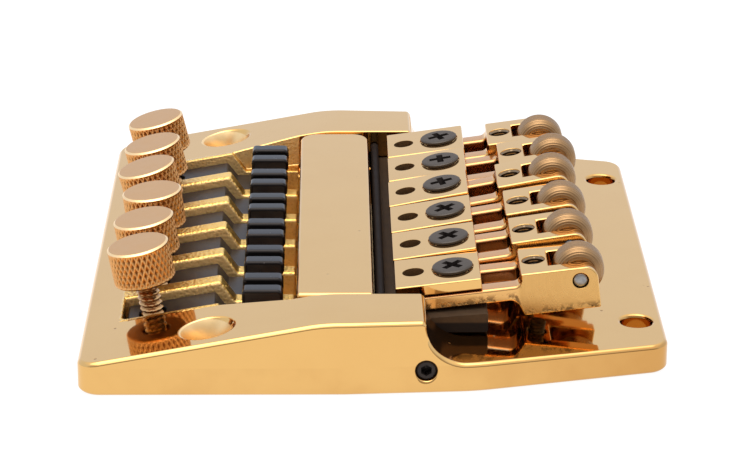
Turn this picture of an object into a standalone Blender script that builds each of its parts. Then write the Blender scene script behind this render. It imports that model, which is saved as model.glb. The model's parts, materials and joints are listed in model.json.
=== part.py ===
"""Fixed guitar bridge with six string hooks, thumbscrew tuners and clamped roller saddles.

The frame has +X from the tail to the nut, +Y to the far side and +Z up from the guitar's top.
The origin is at the middle of the underside. Sizes below are in millimetres and degrees.
"""

import math

import bmesh
import bpy
from mathutils import Matrix

MM = 0.001

# Strings
STRINGS = 6
STRING_PITCH = 10.6

# Gaps between pieces, and how far a cutter runs past what it cuts
RUNNING_GAP = 0.3
PIN_GAP = 0.25
LOOSE_GAP = 0.4
BEYOND = 1.0

# Base frame, seen from above
LENGTH = 78.4
WIDTH = 88.5
WAIST_X = -4.0
FLANGE_X = 13.2
FLANGE_START_WIDTH = 86.4
FLANGE_END_WIDTH = 73.5
FLANGE_ROUND = 25.0
CORNER_RADIUS = 3.0
EDGE_ROUND = 0.45

# Base frame, seen from the side
FLANGE_THICKNESS = 4.1
SEAT_FLOOR = 4.05
RAIL_TOP = 10.2
RAMP_ANGLE = 10.4
RAMP_START_Z = 4.27
RAIL_END_X = 6.6
SCOOP_RADIUS = 5.5

# Pocket between the rails
POCKET_HALF_WIDTH = 33.45
COMB_HALF_WIDTH = 31.0
COMB_FRONT_X = -21.0
COMB_WIDENS_X = -20.5
COMB_FOOT_X = -18.95
LOW_RIB_TOP = 4.7
POCKET_BACK_X = -10.8

# Comb slots
SLOT_WIDTH = 7.6
SLOT_START_X = -34.0
SLOT_FLOOR = 1.2
SLOT_FLARE = 0.15
SLOT_FLARE_LENGTH = 20.0
SLOT_CORNER = 0.8
WINDOW_X = (-21.6, -15.6)
WINDOW_WIDTH = 7.4

# Hook shaft, in a groove that is open to the underside
SHAFT_X = -18.9
SHAFT_Z = 2.6
SHAFT_RADIUS = 0.9
SHAFT_HALF_LENGTH = 33.0
GROOVE_ROUND = 1.08

# String hooks
LEVER_WIDTH = 6.9
LEVER_DROP = 1.15
LEVER_THICKNESS = 2.1
LEVER_END_X = -33.5
LEVER_BEND_X = -21.7
LEVER_BEND_SET = 1.3
LEVER_BEND_RUN = 1.5
LEVER_CORNER = 0.3
LEVER_UNDER_ROUND = 0.8
HOOK_SADDLE_Z = 4.35
BOSS_RADIUS = 2.0
BOSS_ROUNDS = (1.9, 1.3)
BOSS_TRIM = 0.3
CLAW_BACK_X = -17.85
CLAW_FRONT_X = -12.3
CLAW_TOP = 9.2
CLAW_THICKNESS = 2.1
CLAW_CORNERS = (0.35, 0.5)
CLAW_INNER_ROUND = 0.8
CLAW_FOOT_ROUNDS = (0.4, 0.5)
CLAW_POST_X = -15.4
CLAW_SLOT = 1.9
CLAW_SLOT_FLOOR = 5.0

# Thumbscrews
STEM_X = -29.87
STEM_Z = 3.69
STEM_RADIUS = 1.6
STEM_TIP = -1.9
KNOB_RADIUS = 4.2
KNOB_HEIGHT = 5.3
KNOB_BASE = 5.9
KNOB_CHAMFER = 0.25
KNOB_BORE_DEPTH = 4.3
KNOB_LEAN = (13.5, 13.3, 14.6, 7.1, 10.2, 10.9)
KNOB_SETTING = (0.1, -0.15, 0.05, -0.15, -0.15, 0.0)

# String bar
BAR_X = (-10.5, -0.1)
BAR_TOP = 10.0
BAR_HALF_LENGTH = 33.1
BAR_CORNER_RADIUS = 2.6
BAR_EDGE_ROUND = 0.5

# Saddle bar under the arms
SADDLE_BAR_X = (0.25, 15.2)
SADDLE_BAR_HALF_LENGTH = 33.1
SADDLE_BAR_REAR_TOP = 6.0
SADDLE_BAR_FRONT_TOP = 7.15
BEAD_WIDTH = 1.2
BEAD_TOP = 8.4
BEAD_ROUND = 0.54
SADDLE_BAR_EDGE = 0.4
LUG_X = (4.6, 8.7)
LUG_Y = (29.3, 32.9)
LUG_BOTTOM = 1.3

# Saddles, in the tilted frame of each arm, whose origin is the arm's pivot on the saddle bar
TILT_X = 3.2
TILT_Z = 6.4
SADDLE_TILT = (8.1, 9.2, 11.1, 9.8, 8.9, 7.0)
SADDLE_SETTING = (-1.7, -0.4, -1.05, -0.6, -0.5, 0.0)
SADDLE_WIDTH = 9.9
ARM_START = 3.4
ARM_THICKNESS = 1.93
ARM_END_ROUND = 0.3
STEP_RUN = 1.0
STEP_ROUNDS = (1.3, 1.0)
FORK_SLOT = 4.3
FORK_END = 15.6
BLOCK_X = (16.9, 27.2)
BLOCK_BOTTOM = -2.4
BLOCK_TOP = 3.6
BLOCK_HEEL_ROUND = 0.5
BLOCK_TOE_ROUND = 0.3
BLOCK_BACK_EDGE = 0.2
NOSE_RADIUS = 1.8
ROLLER_SLOT_X = 20.8
ROLLER_SLOT = 5.2
PIN_X = 24.8
PIN_Z = 1.75
PIN_RADIUS = 1.07
PIN_LENGTH = 9.7
ROLLER_RADIUS = 3.5
ROLLER_WIDTH = 4.6
ROLLER_SHOULDER = 1.5
HEIGHT_HOLE_X = 18.87
HEIGHT_HOLE_RADIUS = 1.42
HEIGHT_SCREW_RADIUS = 1.12
HEIGHT_SCREW_TOP = 2.75
HEIGHT_SCREW_GAP = 0.5

# Clamp plates and their screws, in the same tilted frames
PLATE_LENGTH = 11.6
PLATE_WIDTH = 10.3
PLATE_Z = (2.25, 3.8)
PLATE_EDGE = 0.2
PLATE_RECESS_WALL = 0.05
PLATE_LAND = 0.15
PLATE_SPARE_HOLE_X = 2.55
PLATE_SPARE_HOLE_RADIUS = 1.475
CLAMP_SCREW_X = 7.93
CLAMP_SHANK_RADIUS = 1.35
CLAMP_HEAD_RADIUS = 2.75
CLAMP_HEAD_TOP = 4.2
CLAMP_HEAD_EDGE = 0.15
CLAMP_HEAD_CONE = 1.0
CLAMP_SCREW_END = -1.3

# Holes in the base frame
FRONT_HOLE = (35.57, 28.4)
FRONT_HOLE_RADIUS = 2.1
FRONT_HOLE_BREAK = 0.3
REAR_HOLE = (-22.55, 38.6)
REAR_HOLE_RADIUS = 2.15
COUNTERSINK_RADIUS = 3.6
COUNTERSINK_DEPTH = 2.4
SIDE_SCREW_X = 6.64
SIDE_SCREW_Z = 3.2
SIDE_SCREW_RADIUS = 1.35
SIDE_HOLE_RADIUS = 1.67
SIDE_SCREW_Y = (33.2, 42.2)

# End chamfers of the plain rods
PIN_CHAMFER = 0.1
SET_SCREW_CHAMFER = 0.15
ROD_CHAMFER = 0.2
STEM_CHAMFER = 0.3

# Facets
WELD = 0.002
MIRROR_WELD = 0.01
SMOOTH_ANGLE = 30.0
EDGE_ANGLE = 50.0
ARC_STEP = 18.0
SMALL_ARC = 1.5
SMALL_ARC_STEP = 45.0
LARGE_ROUND = 24
MEDIUM_ROUND = 16
SMALL_ROUND = 12
ROLLER_STEPS = 3

ACROSS = Matrix(((1, 0, 0, 0), (0, 0, -1, 0), (0, 1, 0, 0), (0, 0, 0, 1)))


def clear_scene():
    for obj in list(bpy.data.objects):
        bpy.data.objects.remove(obj, do_unlink=True)


def new_collection(name):
    made = bpy.data.collections.new(name)
    bpy.context.scene.collection.children.link(made)
    return made


clear_scene()
PARTS = new_collection("fixed_guitar_bridge")
CUTTERS = new_collection("cutters")


def new_material(name, colour, roughness, metallic):
    made = bpy.data.materials.new(name)
    made.use_nodes = True
    shader = made.node_tree.nodes["Principled BSDF"]
    shader.inputs["Base Color"].default_value = (*colour, 1.0)
    shader.inputs["Roughness"].default_value = roughness
    shader.inputs["Metallic"].default_value = metallic
    made.diffuse_color = (*colour, 1.0)
    return made


GOLD = new_material("polished_gold", (0.80, 0.55, 0.27), 0.12, 1.0)
SATIN_GOLD = new_material("knurled_gold", (0.72, 0.47, 0.24), 0.38, 1.0)
BLACK = new_material("satin_black", (0.015, 0.015, 0.017), 0.35, 0.0)
BLACK_OXIDE = new_material("black_oxide", (0.05, 0.05, 0.06), 0.4, 1.0)
BRASS = new_material("turned_brass", (0.50, 0.33, 0.17), 0.45, 1.0)
STEEL = new_material("grey_steel", (0.32, 0.32, 0.34), 0.35, 1.0)


def ramp_height(x):
    """Height of the ramp's surface above the underside."""
    return RAMP_START_Z + (x + LENGTH / 2) * math.tan(math.radians(RAMP_ANGLE))


def string_y(number):
    """Places the strings across the bridge; string 1 is on the far side."""
    return (STRINGS + 1 - 2 * number) / 2 * STRING_PITCH


def rounded(corners):
    """Turns corners (x, y) or (x, y, radius) into an outline with an arc at each rounded corner."""
    outline = []
    for index, corner in enumerate(corners):
        x, y = corner[:2]
        radius = corner[2] if len(corner) > 2 else 0.0
        if radius == 0.0:
            outline.append((x, y))
            continue
        before = corners[index - 1]
        after = corners[(index + 1) % len(corners)]
        heading_in = math.atan2(y - before[1], x - before[0])
        heading_out = math.atan2(after[1] - y, after[0] - x)
        turn = (heading_out - heading_in + math.pi) % (2 * math.pi) - math.pi
        side = math.copysign(1.0, turn)
        reach = radius * math.tan(abs(turn) / 2)
        start_x = x - reach * math.cos(heading_in)
        start_y = y - reach * math.sin(heading_in)
        centre_x = start_x - side * radius * math.sin(heading_in)
        centre_y = start_y + side * radius * math.cos(heading_in)
        arc_step = SMALL_ARC_STEP if radius < SMALL_ARC else ARC_STEP
        steps = max(1, round(abs(math.degrees(turn)) / arc_step))
        for step in range(steps + 1):
            heading = heading_in + turn * step / steps
            outline.append((
                centre_x + side * radius * math.sin(heading),
                centre_y - side * radius * math.cos(heading),
            ))
    return outline


def finished_mesh(obj, matrix=None):
    """Reads an object as its modifiers leave it, welds it and removes the object."""
    bpy.context.view_layer.update()
    evaluated = obj.evaluated_get(bpy.context.evaluated_depsgraph_get())
    mesh = bpy.data.meshes.new_from_object(evaluated)
    mesh.name = obj.name
    work = bmesh.new()
    work.from_mesh(mesh)
    bmesh.ops.remove_doubles(work, verts=work.verts, dist=WELD * MM)
    if matrix is not None:
        bmesh.ops.transform(work, matrix=matrix, verts=work.verts)
    work.to_mesh(mesh)
    work.free()
    bpy.data.objects.remove(obj, do_unlink=True)
    return mesh


def outline_mesh(name, outline, low, high, turn=None):
    """A flat outline, thickened from low to high along its normal, then turned."""
    curve = bpy.data.curves.new(name, "CURVE")
    curve.dimensions = "2D"
    curve.fill_mode = "BOTH"
    curve.extrude = (high - low) / 2 * MM
    spline = curve.splines.new("POLY")
    spline.points.add(len(outline) - 1)
    for point, (x, y) in zip(spline.points, outline):
        point.co = (x * MM, y * MM, 0.0, 1.0)
    spline.use_cyclic_u = True
    obj = bpy.data.objects.new(name, curve)
    CUTTERS.objects.link(obj)
    matrix = Matrix.Translation((0.0, 0.0, (low + high) / 2 * MM))
    return finished_mesh(obj, turn @ matrix if turn else matrix)


def side_mesh(name, corners, width, middle=0.0):
    """An outline drawn in X and Z, thickened across the bridge about the given Y."""
    return outline_mesh(name, rounded(corners), -middle - width / 2, -middle + width / 2, ACROSS)


def turned_mesh(name, profile, steps, closed=False, turn=None):
    """Spins a profile of (radius, height) about Z; it runs down its outer side."""
    mesh = bpy.data.meshes.new(name)
    points = [(radius * MM, 0.0, height * MM) for radius, height in profile]
    edges = [(index, index + 1) for index in range(len(points) - 1)]
    if closed:
        edges.append((len(points) - 1, 0))
    mesh.from_pydata(points, edges, [])
    obj = bpy.data.objects.new(name, mesh)
    CUTTERS.objects.link(obj)
    screw = obj.modifiers.new("spin", "SCREW")
    screw.steps = screw.render_steps = steps
    screw.use_merge_vertices = True
    screw.merge_threshold = WELD * MM
    result = finished_mesh(obj, turn)
    result.shade_smooth()
    result.set_sharp_from_angle(angle=math.radians(SMOOTH_ANGLE))
    return result


def rod_mesh(name, radius, low, high, steps, chamfer=0.0, turn=None):
    """A round rod along Z with an optional chamfer at both ends."""
    profile = [(0.0, high), (radius - chamfer, high)]
    if chamfer:
        profile += [(radius, high - chamfer), (radius, low + chamfer)]
    profile += [(radius - chamfer, low), (0.0, low)]
    return turned_mesh(name, profile, steps, turn=turn)


def new_part(name, mesh, material, parent=None, location=(0.0, 0.0, 0.0), tilt=0.0):
    """Puts a finished mesh in the bridge; tilt lifts its +X end, in degrees."""
    obj = bpy.data.objects.new(name, mesh)
    if not mesh.materials:
        mesh.materials.append(material)
    PARTS.objects.link(obj)
    place(obj, parent, location, tilt)
    return obj


def place(obj, parent, location, tilt):
    obj.parent = parent
    obj.location = [value * MM for value in location]
    obj.rotation_euler = (0.0, math.radians(-tilt), 0.0)


def new_pivot(name, location, tilt):
    """An empty that stands on a joint's axis and carries what moves with it."""
    empty = bpy.data.objects.new(name, None)
    empty.empty_display_size = 2 * MM
    empty.hide_render = True
    PARTS.objects.link(empty)
    place(empty, None, location, tilt)
    return empty


def new_cutter(name, mesh, location=(0.0, 0.0, 0.0), tilt=0.0):
    cutter = bpy.data.objects.new(name, mesh)
    cutter.hide_render = True
    cutter.display_type = "WIRE"
    CUTTERS.objects.link(cutter)
    place(cutter, None, location, tilt)
    return cutter


def across_strings(obj):
    """Repeats a cutter for every string, starting at the nearest."""
    array = obj.modifiers.new("strings", "ARRAY")
    array.count = STRINGS
    array.use_relative_offset = False
    array.use_constant_offset = True
    array.constant_offset_displace = (0.0, STRING_PITCH * MM, 0.0)
    return obj


def both_sides(obj):
    """Mirrors a cutter from the far side to the near side."""
    mirror = obj.modifiers.new("both_sides", "MIRROR")
    mirror.use_axis = (False, True, False)
    mirror.use_mirror_merge = False
    mirror.merge_threshold = MIRROR_WELD * MM
    return obj


def carve(obj, cutter, operation="DIFFERENCE"):
    boolean = obj.modifiers.new(cutter.name, "BOOLEAN")
    boolean.operation = operation
    boolean.solver = "EXACT"
    boolean.object = cutter


def soften(obj, width, segments=1):
    bevel = obj.modifiers.new("edges", "BEVEL")
    bevel.width = width * MM
    bevel.segments = segments
    bevel.limit_method = "ANGLE"
    bevel.angle_limit = math.radians(EDGE_ANGLE)


def mirrored_outline(half):
    """Completes an outline that is given for +Y, from its tail end to its nut end."""
    other = [(x, -y, *rest) for x, y, *rest in reversed(half)]
    return rounded((half + other)[::-1])


def body_outline_mesh():
    half = [
        (-LENGTH / 2, WIDTH / 2, CORNER_RADIUS),
        (WAIST_X, WIDTH / 2),
        (FLANGE_X, FLANGE_START_WIDTH / 2, FLANGE_ROUND),
        (LENGTH / 2, FLANGE_END_WIDTH / 2, CORNER_RADIUS),
    ]
    return outline_mesh("body_outline", mirrored_outline(half), -BEYOND, RAIL_TOP + BEYOND)


def body_profile_mesh():
    ramp_end_x = (RAIL_TOP - RAMP_START_Z) / math.tan(math.radians(RAMP_ANGLE)) - LENGTH / 2
    end = LENGTH / 2 + BEYOND
    corners = [
        (-end, 0.0),
        (end, 0.0),
        (end, FLANGE_THICKNESS),
        (RAIL_END_X, FLANGE_THICKNESS, SCOOP_RADIUS),
        (RAIL_END_X, RAIL_TOP),
        (ramp_end_x, RAIL_TOP),
        (-end, ramp_height(-end)),
    ]
    return side_mesh("body_profile", corners, WIDTH + 2 * BEYOND)


def pocket_cutter():
    """The space between the rails: over the comb's low ribs, then down to the plate."""
    slope = (ramp_height(COMB_FRONT_X) - LOW_RIB_TOP) / (COMB_FOOT_X - COMB_FRONT_X)
    above = RAIL_TOP + BEYOND
    front_x = RAIL_END_X + SCOOP_RADIUS + BEYOND
    corners = [
        (COMB_FOOT_X, LOW_RIB_TOP),
        (POCKET_BACK_X, LOW_RIB_TOP),
        (POCKET_BACK_X, SEAT_FLOOR),
        (front_x, SEAT_FLOOR),
        (front_x, above),
        (COMB_FRONT_X - (above - ramp_height(COMB_FRONT_X)) / slope, above),
    ]
    pocket = new_cutter("pocket", side_mesh("pocket", corners, WIDTH))
    half = [
        (SLOT_START_X, COMB_HALF_WIDTH),
        (COMB_WIDENS_X, COMB_HALF_WIDTH),
        (POCKET_BACK_X, POCKET_HALF_WIDTH),
        (front_x + BEYOND, POCKET_HALF_WIDTH),
    ]
    plan_mesh = outline_mesh("pocket_plan", mirrored_outline(half), 0.0, above + BEYOND)
    plan = new_cutter("pocket_plan", plan_mesh)
    carve(pocket, plan, "INTERSECT")
    return pocket


def slot_cutter():
    """One slot of the comb for each string."""
    half = SLOT_WIDTH / 2
    outline = rounded([
        (SLOT_START_X, -half, SLOT_CORNER),
        (POCKET_BACK_X, -half),
        (POCKET_BACK_X, half),
        (SLOT_START_X, half, SLOT_CORNER),
    ])
    mesh = outline_mesh("comb_slots", outline, SLOT_FLOOR, RAIL_TOP + BEYOND)
    return across_strings(new_cutter("comb_slots", mesh, (0.0, string_y(STRINGS), 0.0)))


def flare_cutter():
    """Breaks the slots' long edges where they meet the ramp."""
    half = SLOT_WIDTH / 2
    low = 2 * SLOT_FLARE
    outline = [
        (SLOT_FLARE - half, -low),
        (half - SLOT_FLARE, -low),
        (half + SLOT_FLARE + low, low),
        (-half - SLOT_FLARE - low, low),
    ]
    along_x = Matrix(((0, 0, 1, 0), (1, 0, 0, 0), (0, 1, 0, 0), (0, 0, 0, 1)))
    mesh = outline_mesh("slot_edges", outline, 0.0, SLOT_FLARE_LENGTH, along_x)
    start_x = SLOT_START_X + SLOT_CORNER
    start = (start_x, string_y(STRINGS), ramp_height(start_x))
    return across_strings(new_cutter("slot_edges", mesh, start, RAMP_ANGLE))


def window_cutter():
    """Openings in the slots' floors for the bosses of the hooks."""
    low, high = WINDOW_X
    half = WINDOW_WIDTH / 2
    outline = [(low, -half), (high, -half), (high, half), (low, half)]
    mesh = outline_mesh("boss_windows", outline, -BEYOND, SLOT_FLOOR + BEYOND)
    return across_strings(new_cutter("boss_windows", mesh, (0.0, string_y(STRINGS), 0.0)))


def groove_cutter():
    """A groove across the underside, with a round top, that seats the shaft."""
    radius = SHAFT_RADIUS + RUNNING_GAP
    corners = [
        (SHAFT_X - radius, -BEYOND),
        (SHAFT_X + radius, -BEYOND),
        (SHAFT_X + radius, SHAFT_Z + radius, GROOVE_ROUND),
        (SHAFT_X - radius, SHAFT_Z + radius, GROOVE_ROUND),
    ]
    length = 2 * (SHAFT_HALF_LENGTH + RUNNING_GAP)
    return new_cutter("shaft_groove", side_mesh("shaft_groove", corners, length))


def screw_hole_cutters():
    surface = ramp_height(REAR_HOLE[0])
    rise = COUNTERSINK_RADIUS - REAR_HOLE_RADIUS
    wide = COUNTERSINK_RADIUS + 2 * BEYOND
    above = surface + 2 * BEYOND * COUNTERSINK_DEPTH / rise
    rear = turned_mesh("rear_holes", [
        (0.0, above),
        (wide, above),
        (REAR_HOLE_RADIUS, surface - COUNTERSINK_DEPTH),
        (REAR_HOLE_RADIUS, -BEYOND),
        (0.0, -BEYOND),
    ], LARGE_ROUND)
    front = turned_mesh("front_holes", [
        (0.0, FLANGE_THICKNESS + BEYOND),
        (FRONT_HOLE_RADIUS + FRONT_HOLE_BREAK + BEYOND, FLANGE_THICKNESS + BEYOND),
        (FRONT_HOLE_RADIUS, FLANGE_THICKNESS - FRONT_HOLE_BREAK),
        (FRONT_HOLE_RADIUS, -BEYOND),
        (0.0, -BEYOND),
    ], MEDIUM_ROUND)
    return [
        both_sides(moved_cutter("rear_holes", rear, (*REAR_HOLE, 0.0))),
        both_sides(moved_cutter("front_holes", front, (*FRONT_HOLE, 0.0))),
    ]


def moved_cutter(name, mesh, location):
    """A cutter whose place is in its mesh, so that it can be mirrored about the centre line."""
    mesh.transform(Matrix.Translation([value * MM for value in location]))
    return new_cutter(name, mesh)


def lug_pocket_cutter():
    gap = LOOSE_GAP
    low, high = LUG_X
    outline = [
        (low - gap, LUG_Y[0] - gap),
        (high + gap, LUG_Y[0] - gap),
        (high + gap, SIDE_SCREW_Y[0]),
        (low - gap, SIDE_SCREW_Y[0]),
    ]
    mesh = outline_mesh("lug_pockets", outline, LUG_BOTTOM - gap, FLANGE_THICKNESS + BEYOND)
    return both_sides(new_cutter("lug_pockets", mesh))


def side_bore_cutter():
    turn = ACROSS.inverted()
    end = WIDTH / 2 + BEYOND
    bore = rod_mesh("side_bores", SIDE_HOLE_RADIUS, LUG_Y[1], end, MEDIUM_ROUND, turn=turn)
    return both_sides(moved_cutter("side_bores", bore, (SIDE_SCREW_X, 0.0, SIDE_SCREW_Z)))


def make_base_frame():
    base = new_part("base_frame", body_outline_mesh(), GOLD)
    carve(base, new_cutter("body_profile", body_profile_mesh()), "INTERSECT")
    soften(base, EDGE_ROUND)
    cutters = [
        pocket_cutter(),
        slot_cutter(),
        flare_cutter(),
        window_cutter(),
        groove_cutter(),
        *screw_hole_cutters(),
        lug_pocket_cutter(),
        side_bore_cutter(),
    ]
    for cutter in cutters:
        carve(base, cutter)


def make_string_bar():
    low, high = BAR_X
    half = BAR_HALF_LENGTH
    outline = rounded([
        (low, -half),
        (high, -half),
        (high, half, BAR_CORNER_RADIUS),
        (low, half, BAR_CORNER_RADIUS),
    ])
    mesh = outline_mesh("string_bar", outline, SEAT_FLOOR + RUNNING_GAP, BAR_TOP)
    soften(new_part("string_bar", mesh, GOLD), BAR_EDGE_ROUND, segments=2)


def make_hook_shaft():
    rod = rod_mesh("hook_shaft", SHAFT_RADIUS, -SHAFT_HALF_LENGTH, SHAFT_HALF_LENGTH, SMALL_ROUND,
                   chamfer=ROD_CHAMFER, turn=ACROSS)
    new_part("hook_shaft", rod, STEEL, location=(SHAFT_X, 0.0, SHAFT_Z))


def hook_profile():
    """Side view of a hook, about the shaft: lever, low saddle, claw post, claw and boss."""
    def lever_top(x):
        return ramp_height(x) - LEVER_DROP

    under_x = LEVER_BEND_X - LEVER_BEND_SET
    claw_under = CLAW_TOP - CLAW_THICKNESS
    corners = [
        (LEVER_END_X, lever_top(LEVER_END_X) - LEVER_THICKNESS, LEVER_CORNER),
        (under_x, lever_top(under_x) - LEVER_THICKNESS, LEVER_UNDER_ROUND),
        (SHAFT_X - BOSS_RADIUS, SHAFT_Z - BOSS_RADIUS, BOSS_ROUNDS[0]),
        (SHAFT_X + BOSS_RADIUS - BOSS_TRIM, SHAFT_Z - BOSS_RADIUS, BOSS_ROUNDS[1]),
        (CLAW_POST_X, SHAFT_Z, CLAW_FOOT_ROUNDS[1]),
        (CLAW_POST_X, claw_under, CLAW_INNER_ROUND),
        (CLAW_FRONT_X, claw_under, CLAW_CORNERS[0]),
        (CLAW_FRONT_X, CLAW_TOP, CLAW_CORNERS[1]),
        (CLAW_BACK_X, CLAW_TOP, CLAW_CORNERS[1]),
        (CLAW_BACK_X, HOOK_SADDLE_Z, CLAW_FOOT_ROUNDS[0]),
        (LEVER_BEND_X + LEVER_BEND_RUN, HOOK_SADDLE_Z, LEVER_CORNER),
        (LEVER_BEND_X, lever_top(LEVER_BEND_X), LEVER_CORNER),
        (LEVER_END_X, lever_top(LEVER_END_X), LEVER_CORNER),
    ]
    return [(x - SHAFT_X, z - SHAFT_Z, *radius) for x, z, *radius in corners]


def hook_mesh():
    hook = bpy.data.objects.new("hook", side_mesh("hook", hook_profile(), LEVER_WIDTH))
    CUTTERS.objects.link(hook)
    radius = SHAFT_RADIUS + RUNNING_GAP
    bore = rod_mesh("hook_bore", radius, -LEVER_WIDTH, LEVER_WIDTH, SMALL_ROUND, turn=ACROSS)
    carve(hook, new_cutter("hook_bore", bore))
    slot = [
        (CLAW_BACK_X - SHAFT_X - BEYOND, CLAW_SLOT_FLOOR - SHAFT_Z),
        (CLAW_FRONT_X - SHAFT_X + BEYOND, CLAW_SLOT_FLOOR - SHAFT_Z),
        (CLAW_FRONT_X - SHAFT_X + BEYOND, CLAW_TOP - SHAFT_Z + BEYOND),
        (CLAW_BACK_X - SHAFT_X - BEYOND, CLAW_TOP - SHAFT_Z + BEYOND),
    ]
    carve(hook, new_cutter("claw_slot", side_mesh("claw_slot", slot, CLAW_SLOT)))
    reach = LEVER_THICKNESS + 2 * BEYOND
    stem_bore = rod_mesh("stem_bore", STEM_RADIUS + RUNNING_GAP, -reach, reach, SMALL_ROUND)
    place_x = STEM_X - SHAFT_X
    place_z = STEM_Z - SHAFT_Z
    carve(hook, new_cutter("stem_bore", stem_bore, (place_x, 0.0, place_z), RAMP_ANGLE))
    return finished_mesh(hook)


def stem_mesh():
    top = KNOB_BASE + min(KNOB_SETTING) + KNOB_BORE_DEPTH - RUNNING_GAP
    return rod_mesh("tuner_screw", STEM_RADIUS, STEM_TIP, top, SMALL_ROUND, chamfer=STEM_CHAMFER)


def knob_mesh():
    bore = STEM_RADIUS + RUNNING_GAP
    return turned_mesh("tuner_knob", [
        (0.0, KNOB_HEIGHT),
        (KNOB_RADIUS - KNOB_CHAMFER, KNOB_HEIGHT),
        (KNOB_RADIUS, KNOB_HEIGHT - KNOB_CHAMFER),
        (KNOB_RADIUS, 0.0),
        (bore, 0.0),
        (bore, KNOB_BORE_DEPTH),
        (0.0, KNOB_BORE_DEPTH),
    ], LARGE_ROUND)


def make_tail():
    """Hooks on their shaft, each with its thumbscrew."""
    hook, stem, knob = hook_mesh(), stem_mesh(), knob_mesh()
    for number in range(1, STRINGS + 1):
        y = string_y(number)
        lever = new_part(f"string_hook_{number}", hook, BLACK, location=(SHAFT_X, y, SHAFT_Z))
        lean = KNOB_LEAN[number - 1]
        seat = (STEM_X - SHAFT_X, 0.0, STEM_Z - SHAFT_Z)
        screw = new_part(f"tuner_screw_{number}", stem, SATIN_GOLD, lever, seat, lean)
        height = KNOB_BASE + KNOB_SETTING[number - 1]
        new_part(f"tuner_knob_{number}", knob, SATIN_GOLD, screw, (0.0, 0.0, height))


def make_saddle_bar():
    low, high = SADDLE_BAR_X
    bottom = SEAT_FLOOR + RUNNING_GAP
    corners = [
        (low, bottom),
        (high, bottom, SADDLE_BAR_EDGE),
        (high, SADDLE_BAR_FRONT_TOP, SADDLE_BAR_EDGE),
        (low + BEAD_WIDTH, SADDLE_BAR_REAR_TOP),
        (low + BEAD_WIDTH, BEAD_TOP, BEAD_ROUND),
        (low, BEAD_TOP, BEAD_ROUND),
    ]
    bar = new_part("saddle_bar", side_mesh("saddle_bar", corners, 2 * SADDLE_BAR_HALF_LENGTH), BLACK)
    lug = [(LUG_X[0], LUG_Y[0]), (LUG_X[1], LUG_Y[0]), (LUG_X[1], LUG_Y[1]), (LUG_X[0], LUG_Y[1])]
    lugs = new_cutter("lugs", outline_mesh("lugs", lug, LUG_BOTTOM, bottom + BEYOND))
    carve(bar, both_sides(lugs), "UNION")
    depth = SADDLE_BAR_FRONT_TOP
    hole = rod_mesh("clamp_holes", CLAMP_SHANK_RADIUS + LOOSE_GAP, -depth, depth, SMALL_ROUND)
    for number in range(1, STRINGS + 1):
        tilt = SADDLE_TILT[number - 1]
        cutter = new_cutter(f"clamp_hole_{number}", hole, clamp_point(number), tilt)
        carve(bar, cutter)


def clamp_point(number):
    """Where a clamp screw's axis crosses the underside of its arm."""
    tilt = math.radians(SADDLE_TILT[number - 1])
    x = TILT_X + CLAMP_SCREW_X * math.cos(tilt)
    return (x, string_y(number), TILT_Z + CLAMP_SCREW_X * math.sin(tilt))


def saddle_profile():
    back, front = BLOCK_X
    return [
        (ARM_START, 0.0, ARM_END_ROUND),
        (back - STEP_RUN, 0.0, STEP_ROUNDS[0]),
        (back, BLOCK_BOTTOM, BLOCK_HEEL_ROUND),
        (front, BLOCK_BOTTOM, BLOCK_TOE_ROUND),
        (front, BLOCK_TOP, NOSE_RADIUS),
        (back, BLOCK_TOP, BLOCK_BACK_EDGE),
        (back, ARM_THICKNESS, STEP_ROUNDS[1]),
        (ARM_START, ARM_THICKNESS, ARM_END_ROUND),
    ]


def saddle_mesh():
    saddle = bpy.data.objects.new("saddle", side_mesh("saddle", saddle_profile(), SADDLE_WIDTH))
    CUTTERS.objects.link(saddle)
    above = BLOCK_TOP + BEYOND
    below = BLOCK_BOTTOM - BEYOND
    start = ARM_START - BEYOND
    fork = [(start, below), (FORK_END, below), (FORK_END, above), (start, above)]
    carve(saddle, new_cutter("fork_slot", side_mesh("fork_slot", fork, FORK_SLOT)))
    end = BLOCK_X[1] + BEYOND
    slot = [(ROLLER_SLOT_X, below), (end, below), (end, above), (ROLLER_SLOT_X, above)]
    carve(saddle, new_cutter("roller_slot", side_mesh("roller_slot", slot, ROLLER_SLOT)))
    turn = Matrix.Translation((PIN_X * MM, 0.0, PIN_Z * MM)) @ ACROSS
    radius = PIN_RADIUS + PIN_GAP
    pin_hole = rod_mesh("pin_hole", radius, -SADDLE_WIDTH, SADDLE_WIDTH, SMALL_ROUND, turn=turn)
    carve(saddle, new_cutter("pin_hole", pin_hole))
    height_hole = rod_mesh("height_hole", HEIGHT_HOLE_RADIUS, below, above, SMALL_ROUND)
    carve(saddle, new_cutter("height_hole", height_hole, (HEIGHT_HOLE_X, 0.0, 0.0)))
    return finished_mesh(saddle)


def roller_mesh():
    """A barrel with round shoulders and a plain bore."""
    half = ROLLER_WIDTH / 2
    bore = PIN_RADIUS + PIN_GAP
    core = ROLLER_RADIUS - ROLLER_SHOULDER
    shoulder = []
    for step in range(ROLLER_STEPS + 1):
        turn = math.pi / 2 * step / ROLLER_STEPS
        radius = core + ROLLER_SHOULDER * math.sin(turn)
        shoulder.append((radius, half - ROLLER_SHOULDER * (1.0 - math.cos(turn))))
    other = [(radius, -along) for radius, along in reversed(shoulder)]
    profile = [(bore, half), *shoulder, *other, (bore, -half)]
    return turned_mesh("roller", profile, MEDIUM_ROUND, closed=True, turn=ACROSS)


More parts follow.
